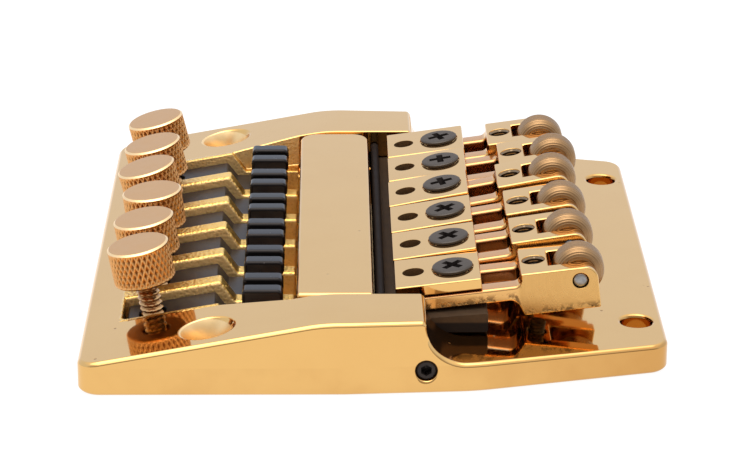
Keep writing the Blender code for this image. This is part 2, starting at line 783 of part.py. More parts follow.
def clamp_plate_mesh():
    half = PLATE_WIDTH / 2
    outline = [(0.0, -half), (PLATE_LENGTH, -half), (PLATE_LENGTH, half), (0.0, half)]
    plate = bpy.data.objects.new("clamp_plate", outline_mesh("clamp_plate", outline, *PLATE_Z))
    CUTTERS.objects.link(plate)
    soften(plate, PLATE_EDGE)
    low, high = PLATE_Z
    recess_top = CLAMP_HEAD_RADIUS + RUNNING_GAP
    shank = CLAMP_SHANK_RADIUS + LOOSE_GAP
    recess = turned_mesh("screw_recess", [
        (0.0, high + BEYOND),
        (recess_top, high + BEYOND),
        (recess_top, high - PLATE_RECESS_WALL),
        (shank, low + PLATE_LAND),
        (shank, low - BEYOND),
        (0.0, low - BEYOND),
    ], MEDIUM_ROUND)
    carve(plate, new_cutter("screw_recess", recess, (CLAMP_SCREW_X, 0.0, 0.0)))
    spare = rod_mesh("spare_hole", PLATE_SPARE_HOLE_RADIUS, low - BEYOND, high + BEYOND, SMALL_ROUND)
    carve(plate, new_cutter("spare_hole", spare, (PLATE_SPARE_HOLE_X, 0.0, 0.0)))
    return finished_mesh(plate)


def clamp_screw_mesh():
    seat = PLATE_Z[1] + PLATE_RECESS_WALL
    return turned_mesh("clamp_screw", [
        (0.0, CLAMP_HEAD_TOP),
        (CLAMP_HEAD_RADIUS - CLAMP_HEAD_EDGE, CLAMP_HEAD_TOP),
        (CLAMP_HEAD_RADIUS, CLAMP_HEAD_TOP - CLAMP_HEAD_EDGE),
        (CLAMP_HEAD_RADIUS, seat),
        (CLAMP_SHANK_RADIUS, seat - CLAMP_HEAD_CONE),
        (CLAMP_SHANK_RADIUS, CLAMP_SCREW_END),
        (0.0, CLAMP_SCREW_END),
    ], MEDIUM_ROUND)


def height_screw_mesh(number):
    """A set screw whose tip clears the flange by the same gap, whatever its saddle's tilt."""
    tilt = math.radians(SADDLE_TILT[number - 1])
    along = HEIGHT_HOLE_X + SADDLE_SETTING[number - 1]
    tip_z = FLANGE_THICKNESS + HEIGHT_SCREW_GAP + HEIGHT_SCREW_RADIUS * math.sin(tilt)
    tip = (tip_z - TILT_Z - along * math.sin(tilt)) / math.cos(tilt)
    return rod_mesh(f"height_screw_{number}", HEIGHT_SCREW_RADIUS, tip, HEIGHT_SCREW_TOP, SMALL_ROUND,
                    chamfer=SET_SCREW_CHAMFER)


def make_saddles():
    """Each saddle hangs on a pivot at the back of the saddle bar, with its plate and roller."""
    plate, saddle, roller = clamp_plate_mesh(), saddle_mesh(), roller_mesh()
    screw = clamp_screw_mesh()
    half_pin = PIN_LENGTH / 2
    pin = rod_mesh("roller_pin", PIN_RADIUS, -half_pin, half_pin, SMALL_ROUND,
                   chamfer=PIN_CHAMFER, turn=ACROSS)
    for number in range(1, STRINGS + 1):
        pivot = new_pivot(
            f"saddle_pivot_{number}", (TILT_X, string_y(number), TILT_Z), SADDLE_TILT[number - 1])
        new_part(f"clamp_plate_{number}", plate, GOLD, pivot)
        new_part(f"clamp_screw_{number}", screw, BLACK_OXIDE, pivot, (CLAMP_SCREW_X, 0.0, 0.0))
        carrier = new_part(
            f"saddle_{number}", saddle, GOLD, pivot, (SADDLE_SETTING[number - 1], 0.0, 0.0))
        axle = (PIN_X, 0.0, PIN_Z)
        new_part(f"roller_pin_{number}", pin, STEEL, carrier, axle)
        new_part(f"roller_{number}", roller, BRASS, carrier, axle)
        height_screw = height_screw_mesh(number)
        new_part(f"height_screw_{number}", height_screw, BLACK_OXIDE, carrier, (HEIGHT_HOLE_X, 0.0, 0.0))


def make_side_lock_screws():
    low, high = SIDE_SCREW_Y
    for name, turn in (("near", ACROSS), ("far", ACROSS.inverted())):
        screw = rod_mesh(f"side_lock_screw_{name}", SIDE_SCREW_RADIUS, low, high, SMALL_ROUND,
                         chamfer=ROD_CHAMFER, turn=turn)
        new_part(f"side_lock_screw_{name}", screw, BLACK_OXIDE, location=(SIDE_SCREW_X, 0.0, SIDE_SCREW_Z))


make_base_frame()
make_string_bar()
make_hook_shaft()
make_tail()
make_saddle_bar()
make_saddles()
make_side_lock_screws()
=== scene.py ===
"""Looks of a fixed guitar bridge.

Mirror gold plate, black string hooks, knurled thumbscrews and brass rollers.
Lengths in the functions are millimetres in the bridge's own frame: +X runs from the tail to the
neck, +Y across the strings and +Z up. A piece is modelled about its own joint and then put in its
place.
"""

import json
import math
from types import SimpleNamespace

import bmesh
import bpy
from bpy.props import FloatProperty, FloatVectorProperty, IntProperty, PointerProperty
from bpy.types import Operator, Panel, PropertyGroup
from mathutils import Matrix, Vector


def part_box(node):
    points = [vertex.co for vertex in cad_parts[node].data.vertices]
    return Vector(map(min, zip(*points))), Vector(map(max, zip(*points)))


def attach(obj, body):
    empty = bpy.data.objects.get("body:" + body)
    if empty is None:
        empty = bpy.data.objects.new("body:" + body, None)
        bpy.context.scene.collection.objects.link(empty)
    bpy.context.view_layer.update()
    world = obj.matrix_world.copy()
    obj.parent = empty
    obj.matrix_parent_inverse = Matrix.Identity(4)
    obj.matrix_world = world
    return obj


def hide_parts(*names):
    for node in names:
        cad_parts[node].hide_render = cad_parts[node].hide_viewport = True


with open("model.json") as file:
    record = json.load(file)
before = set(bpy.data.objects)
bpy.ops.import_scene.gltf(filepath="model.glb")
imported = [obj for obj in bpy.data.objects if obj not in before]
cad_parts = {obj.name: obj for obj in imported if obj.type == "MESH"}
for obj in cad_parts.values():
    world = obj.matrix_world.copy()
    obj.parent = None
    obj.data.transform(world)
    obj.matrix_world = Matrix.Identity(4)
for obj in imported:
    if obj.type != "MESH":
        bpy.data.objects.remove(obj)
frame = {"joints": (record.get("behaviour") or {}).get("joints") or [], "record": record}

bl_info = {
    "name": "Fixed Guitar Bridge",
    "version": (1, 0, 0),
    "blender": (4, 5, 0),
    "location": "3D View > Sidebar > Bridge",
    "description": "Models the finished surfaces of a fixed guitar bridge and a plain studio",
    "category": "Object",
}

MM = 0.001
STRINGS = range(1, 7)
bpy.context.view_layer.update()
BODIES = {
    node: body for body, nodes in frame["record"]["behaviour"]["bodies"].items()
    for node in nodes}
JOINTS = {joint["name"]: joint for joint in frame["joints"]}

# Base frame: plan, side view and pocket
BASE_LOW, BASE_HIGH = (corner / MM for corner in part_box("base_frame"))
LENGTH = BASE_HIGH.x - BASE_LOW.x
WIDTH = BASE_HIGH.y - BASE_LOW.y
RAIL_TOP = BASE_HIGH.z
WAIST_X = -4.0
FLANGE_X = 13.2
FLANGE_WIDTH = (86.4, 73.5)
FLANGE_ROUND = 25.0
RAMP_START_Z = 4.27
RAMP_ROUND = 25.0
RAIL_END_X = 6.6
SCOOP_RADIUS = 5.5
POCKET_HALF_WIDTH = 33.45
POCKET_BACK_X = -10.8
COMB_HALF_WIDTH = 31.0
COMB_X = (-21.0, -18.95)
COMB_WIDENS_X = -20.5
LOW_RIB_TOP = 4.7
RIB_SUNK = 0.01
RIB_TOP_ROUND = 0.6
RIB_FOOT_ROUND = 0.4
SLOT_START_X = -34.0
SLOT_END_ROUND = 0.8
SLOT_FLOOR = 1.2
WINDOW_X = (-21.6, -15.6)
WINDOW_HALF_WIDTH = 3.3
GROOVE_HALF_LENGTH = 33.3

# Holes in the base frame
FRONT_HOLE = (35.57, 28.4)
FRONT_HOLE_RADIUS = 2.1
REAR_HOLE = (-22.55, 38.6)
REAR_HOLE_RADIUS = 2.15
COUNTERSINK = (3.6, 2.4)
SIDE_SCREW = (6.64, 3.2)
SIDE_SCREW_RADIUS = 1.35
SIDE_HOLE_RADIUS = 2.1
SIDE_SINK = 0.2
SIDE_SCREW_SUNK = 0.45

# Saddle bar: lugs in the base frame, and the heights behind the bead and at the front
LUG_X = (4.6, 8.7)
LUG_Y = (29.3, 32.9)
LUG_BOTTOM = 1.3
LUG_GAP = 0.4
BAR_BELOW_PIVOT = 2.05
BAR_TOP = (6.0, 7.15)

# Hooks, about the shaft's axis
SHAFT_RADIUS = 0.9
LEVER_DROP = 1.15
LEVER_END_X = -33.5
LEVER_BEND_X = -21.7
HOOK_SADDLE_Z = 4.35
BOSS_RADIUS = 2.0
CLAW_X = (-17.85, -12.3)
CLAW_POST_X = -15.4
CLAW_SLOT_FLOOR = 5.0

# Thumbscrews, about the stem's axis
STEM_TIP = -1.9
STEM_TOP = 9.75
KNOB_BORE_DEPTH = 4.3
KNOB_TURN = 37.0

# Saddles, along an arm from its pivot on the saddle bar
ARM_START = 3.4
FORK_END = 16.8
BLOCK_X = (16.9, 27.2)
BLOCK_BOTTOM = -2.4
ROLLER_SLOT_X = 20.8
PIN_X = 24.8
PIN_Z = 1.75
PIN_GAP = 0.09
HEIGHT_HOLE_X = 18.87
HEIGHT_HOLE_RADIUS = 1.42
PLATE_Z = (2.25, 3.8)
SPARE_HOLE_X = 2.55
CLAMP_SCREW_X = 7.93
CLAMP_SHANK_RADIUS = 1.35
CLAMP_SCREW_BOTTOM = -1.3
CLAMP_RIDGES = 8
CROSS_TURN = (20.0, 3.0, 10.0, 35.0, 40.0, 45.0)

# Set screws: depth and pitch of the thread, then radius and length of the socket's cutter
HEIGHT_SCREW_RADIUS = 1.12
HEIGHT_THREAD = (0.16, 0.5)
HEIGHT_SOCKET = (0.62, 2.4)
SIDE_THREAD = (0.2, 0.6)
SIDE_SOCKET = (0.8, 3.0)

# Gaps round moving pieces and screws, and how far a cutter reaches past what it cuts
GAP = 0.3
SHANK_GAP = 0.4
HEAD_GAP = 0.12
BEYOND = 1.0

# Meshes: shapes of the roundings, merge distances and steps round a turned piece
OUTER_PROFILE = 0.38
INNER_PROFILE = 0.35
FINE_WELD = 0.0004
RIM_WELD = 0.002
THREAD_STEPS = 32
ROLLER_STEPS = 96

# Finishes and studio, the studio's lengths in metres
PLATE_RELIEF = 0.03
FLOOR_HALF_WIDTH = 2.0
FLOOR_DROP = 0.02 * MM
LAMP_PLACE = Vector((-0.35, -0.25, 1.5))
LAMP_WIDTH = 1.5


def length(name, description, value):
    return FloatProperty(
        name=name, description=description, default=value * MM, unit="LENGTH", precision=5)


def angle(name, description, degrees):
    return FloatProperty(
        name=name, description=description, default=math.radians(degrees), unit="ROTATION")


def colour(name, description, value, limit=1.0):
    return FloatVectorProperty(
        name=name, description=description, default=value, subtype="COLOR", min=0.0, max=limit)


def share(name, description, value):
    return FloatProperty(
        name=name, description=description, default=value, subtype="FACTOR", min=0.0, max=1.0)


class BridgeBaseSizes(PropertyGroup):
    flange: length("Flange thickness", "Height of the flat part that carries the saddles", 4.1)
    ramp: angle("Ramp angle", "Rise of the tail and its comb", 10.4)
    corner: length("Corner radius", "Radius of the four corners seen from above", 3.0)
    slot: length("Slot width", "Width of each slot of the comb", 7.6)
    edge: length("Outer edge", "Rounding of the outer edges", 0.6)
    inner_edge: length("Inner edge", "Rounding of the edges of the pocket and holes", 0.2)
    comb_edge: length("Comb edge", "Rounding of the cast ribs of the comb", 0.46)


class BridgeHookSizes(PropertyGroup):
    width: length("Hook width", "Width of a hook across the strings", 6.9)
    lever: length("Lever thickness", "Thickness of the lever under the thumbscrew", 2.1)
    claw_top: length("Claw top", "Height of the claws above the underside", 9.2)
    claw: length("Claw thickness", "Thickness of a claw", 2.1)
    gap: length("Claw gap", "Gap for the string between the two claws", 1.9)
    claw_edge: length("Claw edge", "Rounding of the claws", 0.42)
    edge: length("Edge", "Rounding of the lever", 0.16)


class BridgeKnobSizes(PropertyGroup):
    radius: length("Knob radius", "Radius over the knurl", 4.2)
    height: length("Knob height", "Height of the knob", 5.3)
    chamfer: length("Chamfer", "Chamfer round the top and the bottom", 0.25)
    columns: IntProperty(
        name="Knurl columns", description="Dimples in one row round the knob", default=34)
    rows: FloatProperty(
        name="Knurl turns", description="Turns of one groove over the knob's height", default=3.0)
    knurl: length("Knurl depth", "Depth of the dimples", 0.32)
    stem: length("Stem radius", "Outer radius of the stem's thread", 1.6)
    pitch: length("Thread pitch", "Travel of the thumbscrew in one turn", 0.8)
    thread: length("Thread depth", "Depth of the stem's thread", 0.36)


class BridgeBarSizes(PropertyGroup):
    corner: length("Corner radius", "Radius of the two corners towards the saddles", 2.6)
    edge: length("Edge", "Rounding of the string bar's edges", 0.5)
    bead: length("Bead width", "Width of the black bead behind the clamp plates", 1.2)


class BridgeSaddleSizes(PropertyGroup):
    width: length("Saddle width", "Width of a saddle across the strings", 9.9)
    arm: length("Arm thickness", "Thickness of the forked arm", 1.93)
    fork: length("Fork gap", "Gap between the arm's two prongs", 4.3)
    top: length("Block top", "Height of the block above the arm's underside", 3.6)
    nose: length("Nose radius", "Rounding of the block's front", 1.8)
    roller_slot: length("Roller slot", "Width of the slot for the roller", 5.2)
    roller: length("Roller radius", "Radius of a roller under its string", 3.5)
    roller_width: length("Roller width", "Width of a roller", 4.6)
    shoulder: length("Roller shoulder", "Rounding of the roller's two ends", 1.5)
    ridges: IntProperty(
        name="Roller ridges", description="Fine ridges across a roller", default=17)
    pin: length("Pin radius", "Radius of the roller's pin", 1.0)
    edge: length("Edge", "Rounding of the block's edges", 0.22)
    arm_edge: length("Arm edge", "Rounding of the arm's two prongs", 0.42)


class BridgePlateSizes(PropertyGroup):
    length: length("Plate length", "Length of a clamp plate along its arm", 11.6)
    width: length("Plate width", "Width of a clamp plate across the strings", 10.3)
    hole: length("Spare hole radius", "Radius of the plate's open hole", 1.475)
    head: length("Screw head radius", "Radius of the clamp screw's head", 2.75)
    head_top: length(
        "Screw head height", "Height of the head's top above the arm's underside", 4.28)
    cross: length("Cross recess", "Width of the cross recess from tip to tip", 3.15)
    cross_arm: length("Cross arm", "Width of one arm of the cross recess", 0.92)
    edge: length("Edge", "Rounding of the plate's edges", 0.18)


class BridgeFinishes(PropertyGroup):
    gold: colour("Gold", "Colour of the polished plate", (0.77, 0.458, 0.160))
    # Cast gold is painted shade and orange reflection in the pits of the comb's grain
    cast: colour("Cast gold", "Colour in the pits of the cast comb", (0.55, 0.26, 0.055))
    rose: colour("Rose gold", "Colour of the saddles' arms", (0.68, 0.33, 0.13))
    satin: colour("Satin gold", "Colour of the thumbscrews' tops", (0.61, 0.36, 0.165))
    knurl: colour("Knurl gold", "Colour of the thumbscrews' sides", (0.78, 0.39, 0.137))
    brass: colour("Brass", "Colour of the rollers", (0.335, 0.193, 0.090))
    steel: colour("Steel", "Colour of the pins", (0.34, 0.325, 0.31))
    black: colour("Black", "Colour of the black plate", (0.018, 0.014, 0.013))
    # The brown is painted reflection: it stands for gold reflected dimly on the saddle bar's shaded
    # top
    brown: colour("Brown", "Colour of the saddle bar's rubbed top", (0.085, 0.052, 0.030))
    oxide: colour("Black oxide", "Colour of the screws", (0.060, 0.052, 0.046))
    polish: share("Polish roughness", "Roughness of the mirror plate", 0.045)


class BridgeStudio(PropertyGroup):
    focal: FloatProperty(
        name="Lens", description="Focal length on a 36 mm sensor", default=142.42)
    elevation: angle("Elevation", "How far the camera looks down", 20.871)
    yaw: angle("Yaw", "How far the camera looks to the right", 0.855)
    roll: angle("Roll", "How far the camera leans", 0.235)
    place: FloatVectorProperty(
        name="Camera place", description="Where the camera stands",
        default=(-0.00567, -0.39869, 0.15758), subtype="TRANSLATION", unit="LENGTH")
    floor: colour("Floor", "Light that the floor gives by itself", (0.92, 0.92, 0.92))
    far: colour(
        "Far wall", "Light that comes in low from behind the bridge", (0.88, 0.975, 1.16), 2.0)
    near: colour(
        "Near wall", "Light that comes in low from the camera's side", (0.46, 0.43, 0.40))
    above: FloatProperty(
        name="Ceiling", description="Strength of the light from overhead", default=1.2)
    lamp: FloatProperty(
        name="Soft light", description="Power of the large soft light", default=9.0,
        unit="POWER")


def in_mm(name):
    """A group's values, with its lengths in millimetres."""
    group = getattr(bpy.context.scene, f"bridge_{name}")
    values = {}
    for identifier, prop in group.bl_rna.properties.items():
        if identifier in ("rna_type", "name"):
            continue
        value = getattr(group, identifier)
        is_length = prop.unit == "LENGTH" and not prop.is_array
        values[identifier] = round(value / MM, 5) if is_length else value
    return SimpleNamespace(**values)


# Places of the strings' pieces, read from the frame's joints


def shift(x=0.0, y=0.0, z=0.0):
    return Matrix.Translation((x, y, z))


def solid_box(node):
    """The two corners of a solid's bounds in millimetres."""
    return tuple(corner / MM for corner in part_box(node))


def string_y(number):
    return JOINTS[f"hook_tilt_{number}"]["pos_m"][1] / MM


def joint_place(name):
    return Vector(JOINTS[name]["pos_m"]) / MM


def facing(origin, along):
    """A place whose X runs along a direction in the XZ plane, and whose Y is the bridge's own."""
    x = Vector(along).normalized()
    y = Vector((0.0, 1.0, 0.0))
    z = x.cross(y)
    return Matrix.Translation(origin) @ Matrix((x, y, z)).transposed().to_4x4()


def arm_place(number):
    along = JOINTS[f"saddle_slide_{number}"]["axis"]
    return facing(joint_place(f"saddle_height_{number}"), along)


def carriage_place(number):
    arm = arm_place(number)
    setting = (arm.inverted() @ joint_place(f"roller_spin_{number}")).x - PIN_X
    return arm @ shift(setting)


def hook_place(number):
    return Matrix.Translation(joint_place(f"hook_tilt_{number}"))


def stem_place(number):
    down = Vector(JOINTS[f"screw_travel_{number}"]["axis"]).normalized()
    return facing(joint_place(f"screw_travel_{number}"), Vector((0.0, 1.0, 0.0)).cross(-down))


def knob_place(number, size):
    """Finds how far up its stem the knob sits from the highest corner of its solid."""
    stem = stem_place(number)
    upright = stem.col[2]
    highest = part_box(f"tuner_knob_{number}")[1].z / MM
    lean = math.hypot(upright.x, upright.y) * (size.radius - size.chamfer)
    base = (highest - lean - stem.translation.z) / upright.z - size.height
    return stem @ shift(z=base)


def side_screw_mouth():
    """Distance from the middle of the bridge to its side at the locking screw."""
    share_along = (SIDE_SCREW[0] - WAIST_X) / (FLANGE_X - WAIST_X)
    return WIDTH / 2 - share_along * (WIDTH - FLANGE_WIDTH[0]) / 2


def ramp_z(x):
    """Height of the ramp's surface above the underside."""
    return RAMP_START_Z + (x + LENGTH / 2) * math.tan(bpy.context.scene.bridge_base.ramp)


# Outlines and solids


def arc_step(radius, fine=5.0, coarse=15.0):
    """Degrees between two points of a corner's arc: fewer points round small corners."""
    if radius > 10.0:
        return 1.0
    return fine if radius > 1.0 else coarse


def rounded(corners):
    """Turns corners (x, y) or (x, y, radius) into an outline with an arc at each rounded corner."""
    outline = []
    for index, corner in enumerate(corners):
        x, y = corner[:2]
        radius = corner[2] if len(corner) > 2 else 0.0
        if radius == 0.0:
            outline.append((x, y))
            continue
        before = corners[index - 1]
        after = corners[(index + 1) % len(corners)]
        heading_in = math.atan2(y - before[1], x - before[0])
        heading_out = math.atan2(after[1] - y, after[0] - x)
        turn = (heading_out - heading_in + math.pi) % (2 * math.pi) - math.pi
        side = math.copysign(1.0, turn)
        reach = radius * math.tan(abs(turn) / 2)
        centre_x = x - reach * math.cos(heading_in) - side * radius * math.sin(heading_in)
        centre_y = y - reach * math.sin(heading_in) + side * radius * math.cos(heading_in)
        steps = max(2, round(abs(math.degrees(turn)) / arc_step(radius)))
        for number in range(steps + 1):
            heading = heading_in + turn * number / steps
            outline.append((
                centre_x + side * radius * math.sin(heading),
                centre_y - side * radius * math.cos(heading)))
    return outline


def mirrored(half):
    """Completes a plan that is given for +Y, from its tail end to its neck end."""
    other = [(x, -y, *rest) for x, y, *rest in reversed(half)]
    return rounded((half + other)[::-1])


def rectangle(x, y):
    return [(x[0], y[0]), (x[1], y[0]), (x[1], y[1]), (x[0], y[1])]


def slab(outline, low, high):
    """An outline in X and Y, thickened from low to high."""
    work = bmesh.new()
    face = work.faces.new([work.verts.new((x, y, low)) for x, y in outline])
    risen = bmesh.ops.extrude_face_region(work, geom=[face])["geom"]
    verts = [item for item in risen if isinstance(item, bmesh.types.BMVert)]
    bmesh.ops.translate(work, verts=verts, vec=(0.0, 0.0, high - low))
    bmesh.ops.recalc_face_normals(work, faces=work.faces)
    return work


def moved(work, matrix):
    work.transform(matrix)
    return work


# Turns Z into -Y, for shapes drawn flat or turned about Z that lie across the strings
ACROSS = Matrix(((1, 0, 0, 0), (0, 0, -1, 0), (0, 1, 0, 0), (0, 0, 0, 1)))
SIDES = {"near": ACROSS, "far": ACROSS.inverted()}


def side_slab(outline, width):
    """An outline in X and Z, thickened across the strings."""
    return moved(slab(outline, -width / 2, width / 2), ACROSS)


def weld(work, reach=0.0005):
    bmesh.ops.remove_doubles(work, verts=work.verts, dist=reach)


def skin(profile, steps=64):
    """Spins a profile of (radius, height) about Z. A rim that stays off the axis is left open."""
    work = bmesh.new()
    verts = [work.verts.new((radius, 0.0, height)) for radius, height in profile]
    edges = [work.edges.new(pair) for pair in zip(verts, verts[1:])]
    bmesh.ops.spin(
        work, geom=verts + edges, cent=(0.0, 0.0, 0.0), axis=(0.0, 0.0, 1.0),
        dvec=(0.0, 0.0, 0.0), angle=2 * math.pi, steps=steps, use_merge=True)
    weld(work)
    return work


def turned(profile, steps=64):
    """A closed solid from a profile that starts and ends on the axis."""
    work = skin(profile, steps)
    bmesh.ops.recalc_face_normals(work, faces=work.faces)
    return work


def rod(radius, low, high, steps=48, chamfer=0.0):
    profile = [(0.0, high), (radius - chamfer, high)]
    if chamfer:
        profile += [(radius, high - chamfer), (radius, low + chamfer)]
    return turned(profile + [(radius - chamfer, low), (0.0, low)], steps)


def hexagon(radius, depth, top):
    """A cutter for a hex socket, half of it below the screw's top."""
    work = bmesh.new()
    bmesh.ops.create_cone(
        work, cap_ends=True, segments=6, radius1=radius, radius2=radius, depth=depth)
    return moved(work, shift(z=top))


def placed(name, data):
    """A new object in the scene."""
    obj = bpy.data.objects.new(name, data)
    bpy.context.scene.collection.objects.link(obj)
    return obj


def opened(mesh):
    """A mesh as a bmesh, to be worked on."""
    work = bmesh.new()
    work.from_mesh(mesh)
    return work


def stored(work, mesh):
    """Writes a bmesh back to a mesh and frees it."""
    work.to_mesh(mesh)
    work.free()
    return mesh


def solid(name, *works):
    """One object from one or more pieces of mesh."""
    joined = works[0]
    for other in works[1:]:
        spare = stored(other, bpy.data.meshes.new(name))
        joined.from_mesh(spare)
        bpy.data.meshes.remove(spare)
    return placed(name, stored(joined, bpy.data.meshes.new(name)))


def for_strings(make):
    """The same cutter at each string."""
    return [moved(make(), shift(y=string_y(number))) for number in STRINGS]


def for_sides(make, y):
    """The same cutter at both sides of the bridge, Y and -Y."""
    return [moved(make(), shift(y=side * y)) for side in (1, -1)]


def carve(obj, *works, operation="DIFFERENCE"):
    """Cuts pieces of mesh, which don't meet each other, out of an object."""
    boolean = obj.modifiers.new("carve", "BOOLEAN")
    boolean.operation = operation
    boolean.solver = "EXACT"
    boolean.object = solid("cutter", *works)


def soften(obj, width, segments=3, angle=40.0, weights=False, profile=0.5):
    """Rounds the sharp edges; a profile under 0.5 flattens the rounding towards a chamfer."""
    bevel = obj.modifiers.new("edges", "BEVEL")
    bevel.width = width
    bevel.profile = profile
    bevel.segments = segments
    bevel.limit_method = "WEIGHT" if weights else "ANGLE"
    bevel.angle_limit = math.radians(angle)
    bevel.use_clamp_overlap = False


def soften_unevenly(obj, widest, width_at, segments=3, angle=38.0, profile=0.5):
    """Rounds each sharp edge by a width that depends on where its middle lies."""
    mesh = settled(obj)
    work = opened(mesh)
    weld(work)
    weight = work.edges.layers.float.new("bevel_weight_edge")
    for edge in work.edges:
        if len(edge.link_faces) == 2 and edge.calc_face_angle() > math.radians(angle):
            middle = (edge.verts[0].co + edge.verts[1].co) / 2
            edge[weight] = width_at(middle) / widest
    again = placed("softened", stored(work, mesh))
    soften(again, widest, segments, weights=True, profile=profile)
    return again


def settled(obj):
    """Reads an object as its modifiers leave it, and removes it with its cutters."""
    bpy.context.view_layer.update()
    evaluated = obj.evaluated_get(bpy.context.evaluated_depsgraph_get())
    mesh = bpy.data.meshes.new_from_object(evaluated)
    cutters = [modifier.object for modifier in obj.modifiers if modifier.type == "BOOLEAN"]
    for used in [obj, *cutters]:
        bpy.data.objects.remove(used, do_unlink=True)
    return mesh


def finished(obj, sharp=38.0):
    """Welds a piece and shades it smooth, with the flat faces keeping their own normals."""
    mesh = settled(obj)
    work = opened(mesh)
    weld(work, FINE_WELD)
    bmesh.ops.dissolve_degenerate(work, edges=work.edges, dist=FINE_WELD)
    stored(work, mesh)
    mesh.shade_smooth()
    mesh.set_sharp_from_angle(angle=math.radians(sharp))
    again = placed("smooth", mesh)
    normals = again.modifiers.new("normals", "WEIGHTED_NORMAL")
    normals.keep_sharp = True
    return settled(again)


def choose_second(mesh, is_second):
    """Gives a piece's second finish to the faces whose middle passes a test."""
    for polygon in mesh.polygons:
        polygon.material_index = int(is_second(polygon.center))
    return mesh


def deliver(mesh, node, slot, place=Matrix.Identity(4), finishes=None):
    """Puts a mesh that was made in millimetres in the place of the solid that it stands for."""
    piece_mesh = mesh.copy()
    coords = [0.0] * (3 * len(piece_mesh.vertices))
    piece_mesh.vertices.foreach_get("co", coords)
    local = piece_mesh.attributes.new("local", "FLOAT_VECTOR", "POINT")
    local.data.foreach_set("vector", coords)
    piece_mesh.transform(Matrix.Scale(MM, 4) @ place)
    finishes = finishes or (slot,)
    chosen = [0] * len(piece_mesh.polygons)
    if len(finishes) > 1:
        piece_mesh.polygons.foreach_get("material_index", chosen)

    # Clearing the materials also sets every face back to the first
    piece_mesh.materials.clear()
    for name in finishes:
        piece_mesh.materials.append(finish(name))
    piece_mesh.polygons.foreach_set("material_index", chosen)
    piece = placed(f"fine_{node}", piece_mesh)
    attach(piece, BODIES[node])
    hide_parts(node)


# Node trees


class Wire:
    """A socket; maths on it adds Math nodes to its tree."""

    def __init__(self, nodes, socket):
        self.nodes = nodes
        self.socket = socket

    def __add__(self, other):
        return self.nodes.maths("ADD", self, other)

    def __sub__(self, other):
        return self.nodes.maths("SUBTRACT", self, other)

    def __rsub__(self, other):
        return self.nodes.maths("SUBTRACT", other, self)

    def __mul__(self, other):
        return self.nodes.maths("MULTIPLY", self, other)

    def __truediv__(self, other):
        return self.nodes.maths("DIVIDE", self, other)

    def __abs__(self):
        return self.nodes.maths("ABSOLUTE", self)

    __radd__ = __add__
    __rmul__ = __mul__


class Nodes:
    """Adds nodes to one tree."""

    def __init__(self, tree):
        self.tree = tree
        tree.nodes.clear()

    def add(self, kind, settings=None, sockets=None, output=0):
        """Adds a node, sets it up, fills its sockets and returns one of its outputs."""
        node = self.tree.nodes.new(kind)
        for name, value in (settings or {}).items():
            setattr(node, name, value)
        for name, value in (sockets or {}).items():
            if isinstance(value, Wire):
                self.tree.links.new(value.socket, node.inputs[name])
            else:
                node.inputs[name].default_value = value
        if isinstance(output, tuple):
            return tuple(Wire(self, node.outputs[name]) for name in output)
        return Wire(self, node.outputs[output]) if len(node.outputs) else node

    def maths(self, operation, *values):
        return self.add("ShaderNodeMath", {"operation": operation}, dict(enumerate(values)))

    def most(self, a, b):
        return self.maths("MAXIMUM", a, b)

    def least(self, a, b):
        return self.maths("MINIMUM", a, b)

    def away(self, a, b):
        """Distance from the axis where both a and b are 0."""
        return self.maths("SQRT", a * a + b * b)

    def step(self, value, low, high):
        """Rises smoothly from 0 to 1 between low and high."""
        return self.add(
            "ShaderNodeMapRange", {"interpolation_type": "SMOOTHSTEP"},
            {"Value": value, "From Min": low, "From Max": high})

    def fall(self, value, low, high):
        """Falls smoothly from 1 to 0 between low and high."""
        return 1 - self.step(value, low, high)

    def noise(self, at, scale, detail=2.0, roughness=0.5):
        return self.add("ShaderNodeTexNoise", {}, {
            "Vector": at, "Scale": scale, "Detail": detail, "Roughness": roughness})

    def cells(self, at, scale):
        """Distance to the nearest of a field of scattered points."""
        return self.add("ShaderNodeTexVoronoi", {}, {"Vector": at, "Scale": scale}, "Distance")

    def stretch(self, at, x, y, z):
        return self.add("ShaderNodeVectorMath", {"operation": "MULTIPLY"}, {0: at, 1: (x, y, z)})

    def axes(self, vector):
        """The X, Y and Z of a vector."""
        return self.add("ShaderNodeSeparateXYZ", {}, {0: vector}, (0, 1, 2))

    def vector(self, *parts):
        return self.add("ShaderNodeCombineXYZ", {}, dict(enumerate(parts)))

    def blend(self, share, a, b):
        """Mixes two colours."""
        node = self.tree.nodes.new("ShaderNodeMix")
        node.data_type = "RGBA"
        for name, value in (("Factor", share), ("A", a), ("B", b)):
            kind = "VALUE" if name == "Factor" else "RGBA"
            socket = next(s for s in node.inputs if s.name == name and s.type == kind)
            if isinstance(value, Wire):
                self.tree.links.new(value.socket, socket)
            else:
                socket.default_value = value if name == "Factor" else (*value[:3], 1.0)
        return Wire(self, next(s for s in node.outputs if s.type == "RGBA"))

    def bump(self, height, depth, normal=None):
        """Raises the surface by the height times a depth in millimetres."""
        sockets = {"Height": height, "Distance": depth * MM}
        if normal is not None:
            sockets["Normal"] = normal
        return self.add("ShaderNodeBump", {}, sockets)

    def place(self):
        """The place on the bridge in millimetres."""
        metres = self.add("ShaderNodeTexCoord", {}, {}, "Object")
        return self.stretch(metres, 1 / MM, 1 / MM, 1 / MM)

    def own_axes(self):
        """The X, Y and Z of the place in the piece's own frame, in millimetres."""
        return self.axes(self.add("ShaderNodeAttribute", {"attribute_name": "local"}, {}, "Vector"))


# Finishes. Each function gives a colour, a roughness and, where there is relief, a normal


def specks(nodes, at, scale, radius, share_left):
    """Sparse dots: a share of the cells, each with one small dot."""
    dots = nodes.fall(nodes.cells(at, scale), radius * 0.6, radius)
    chosen = nodes.step(nodes.noise(at, scale * 0.37, 0.0), share_left, share_left + 0.04)
    return dots * chosen


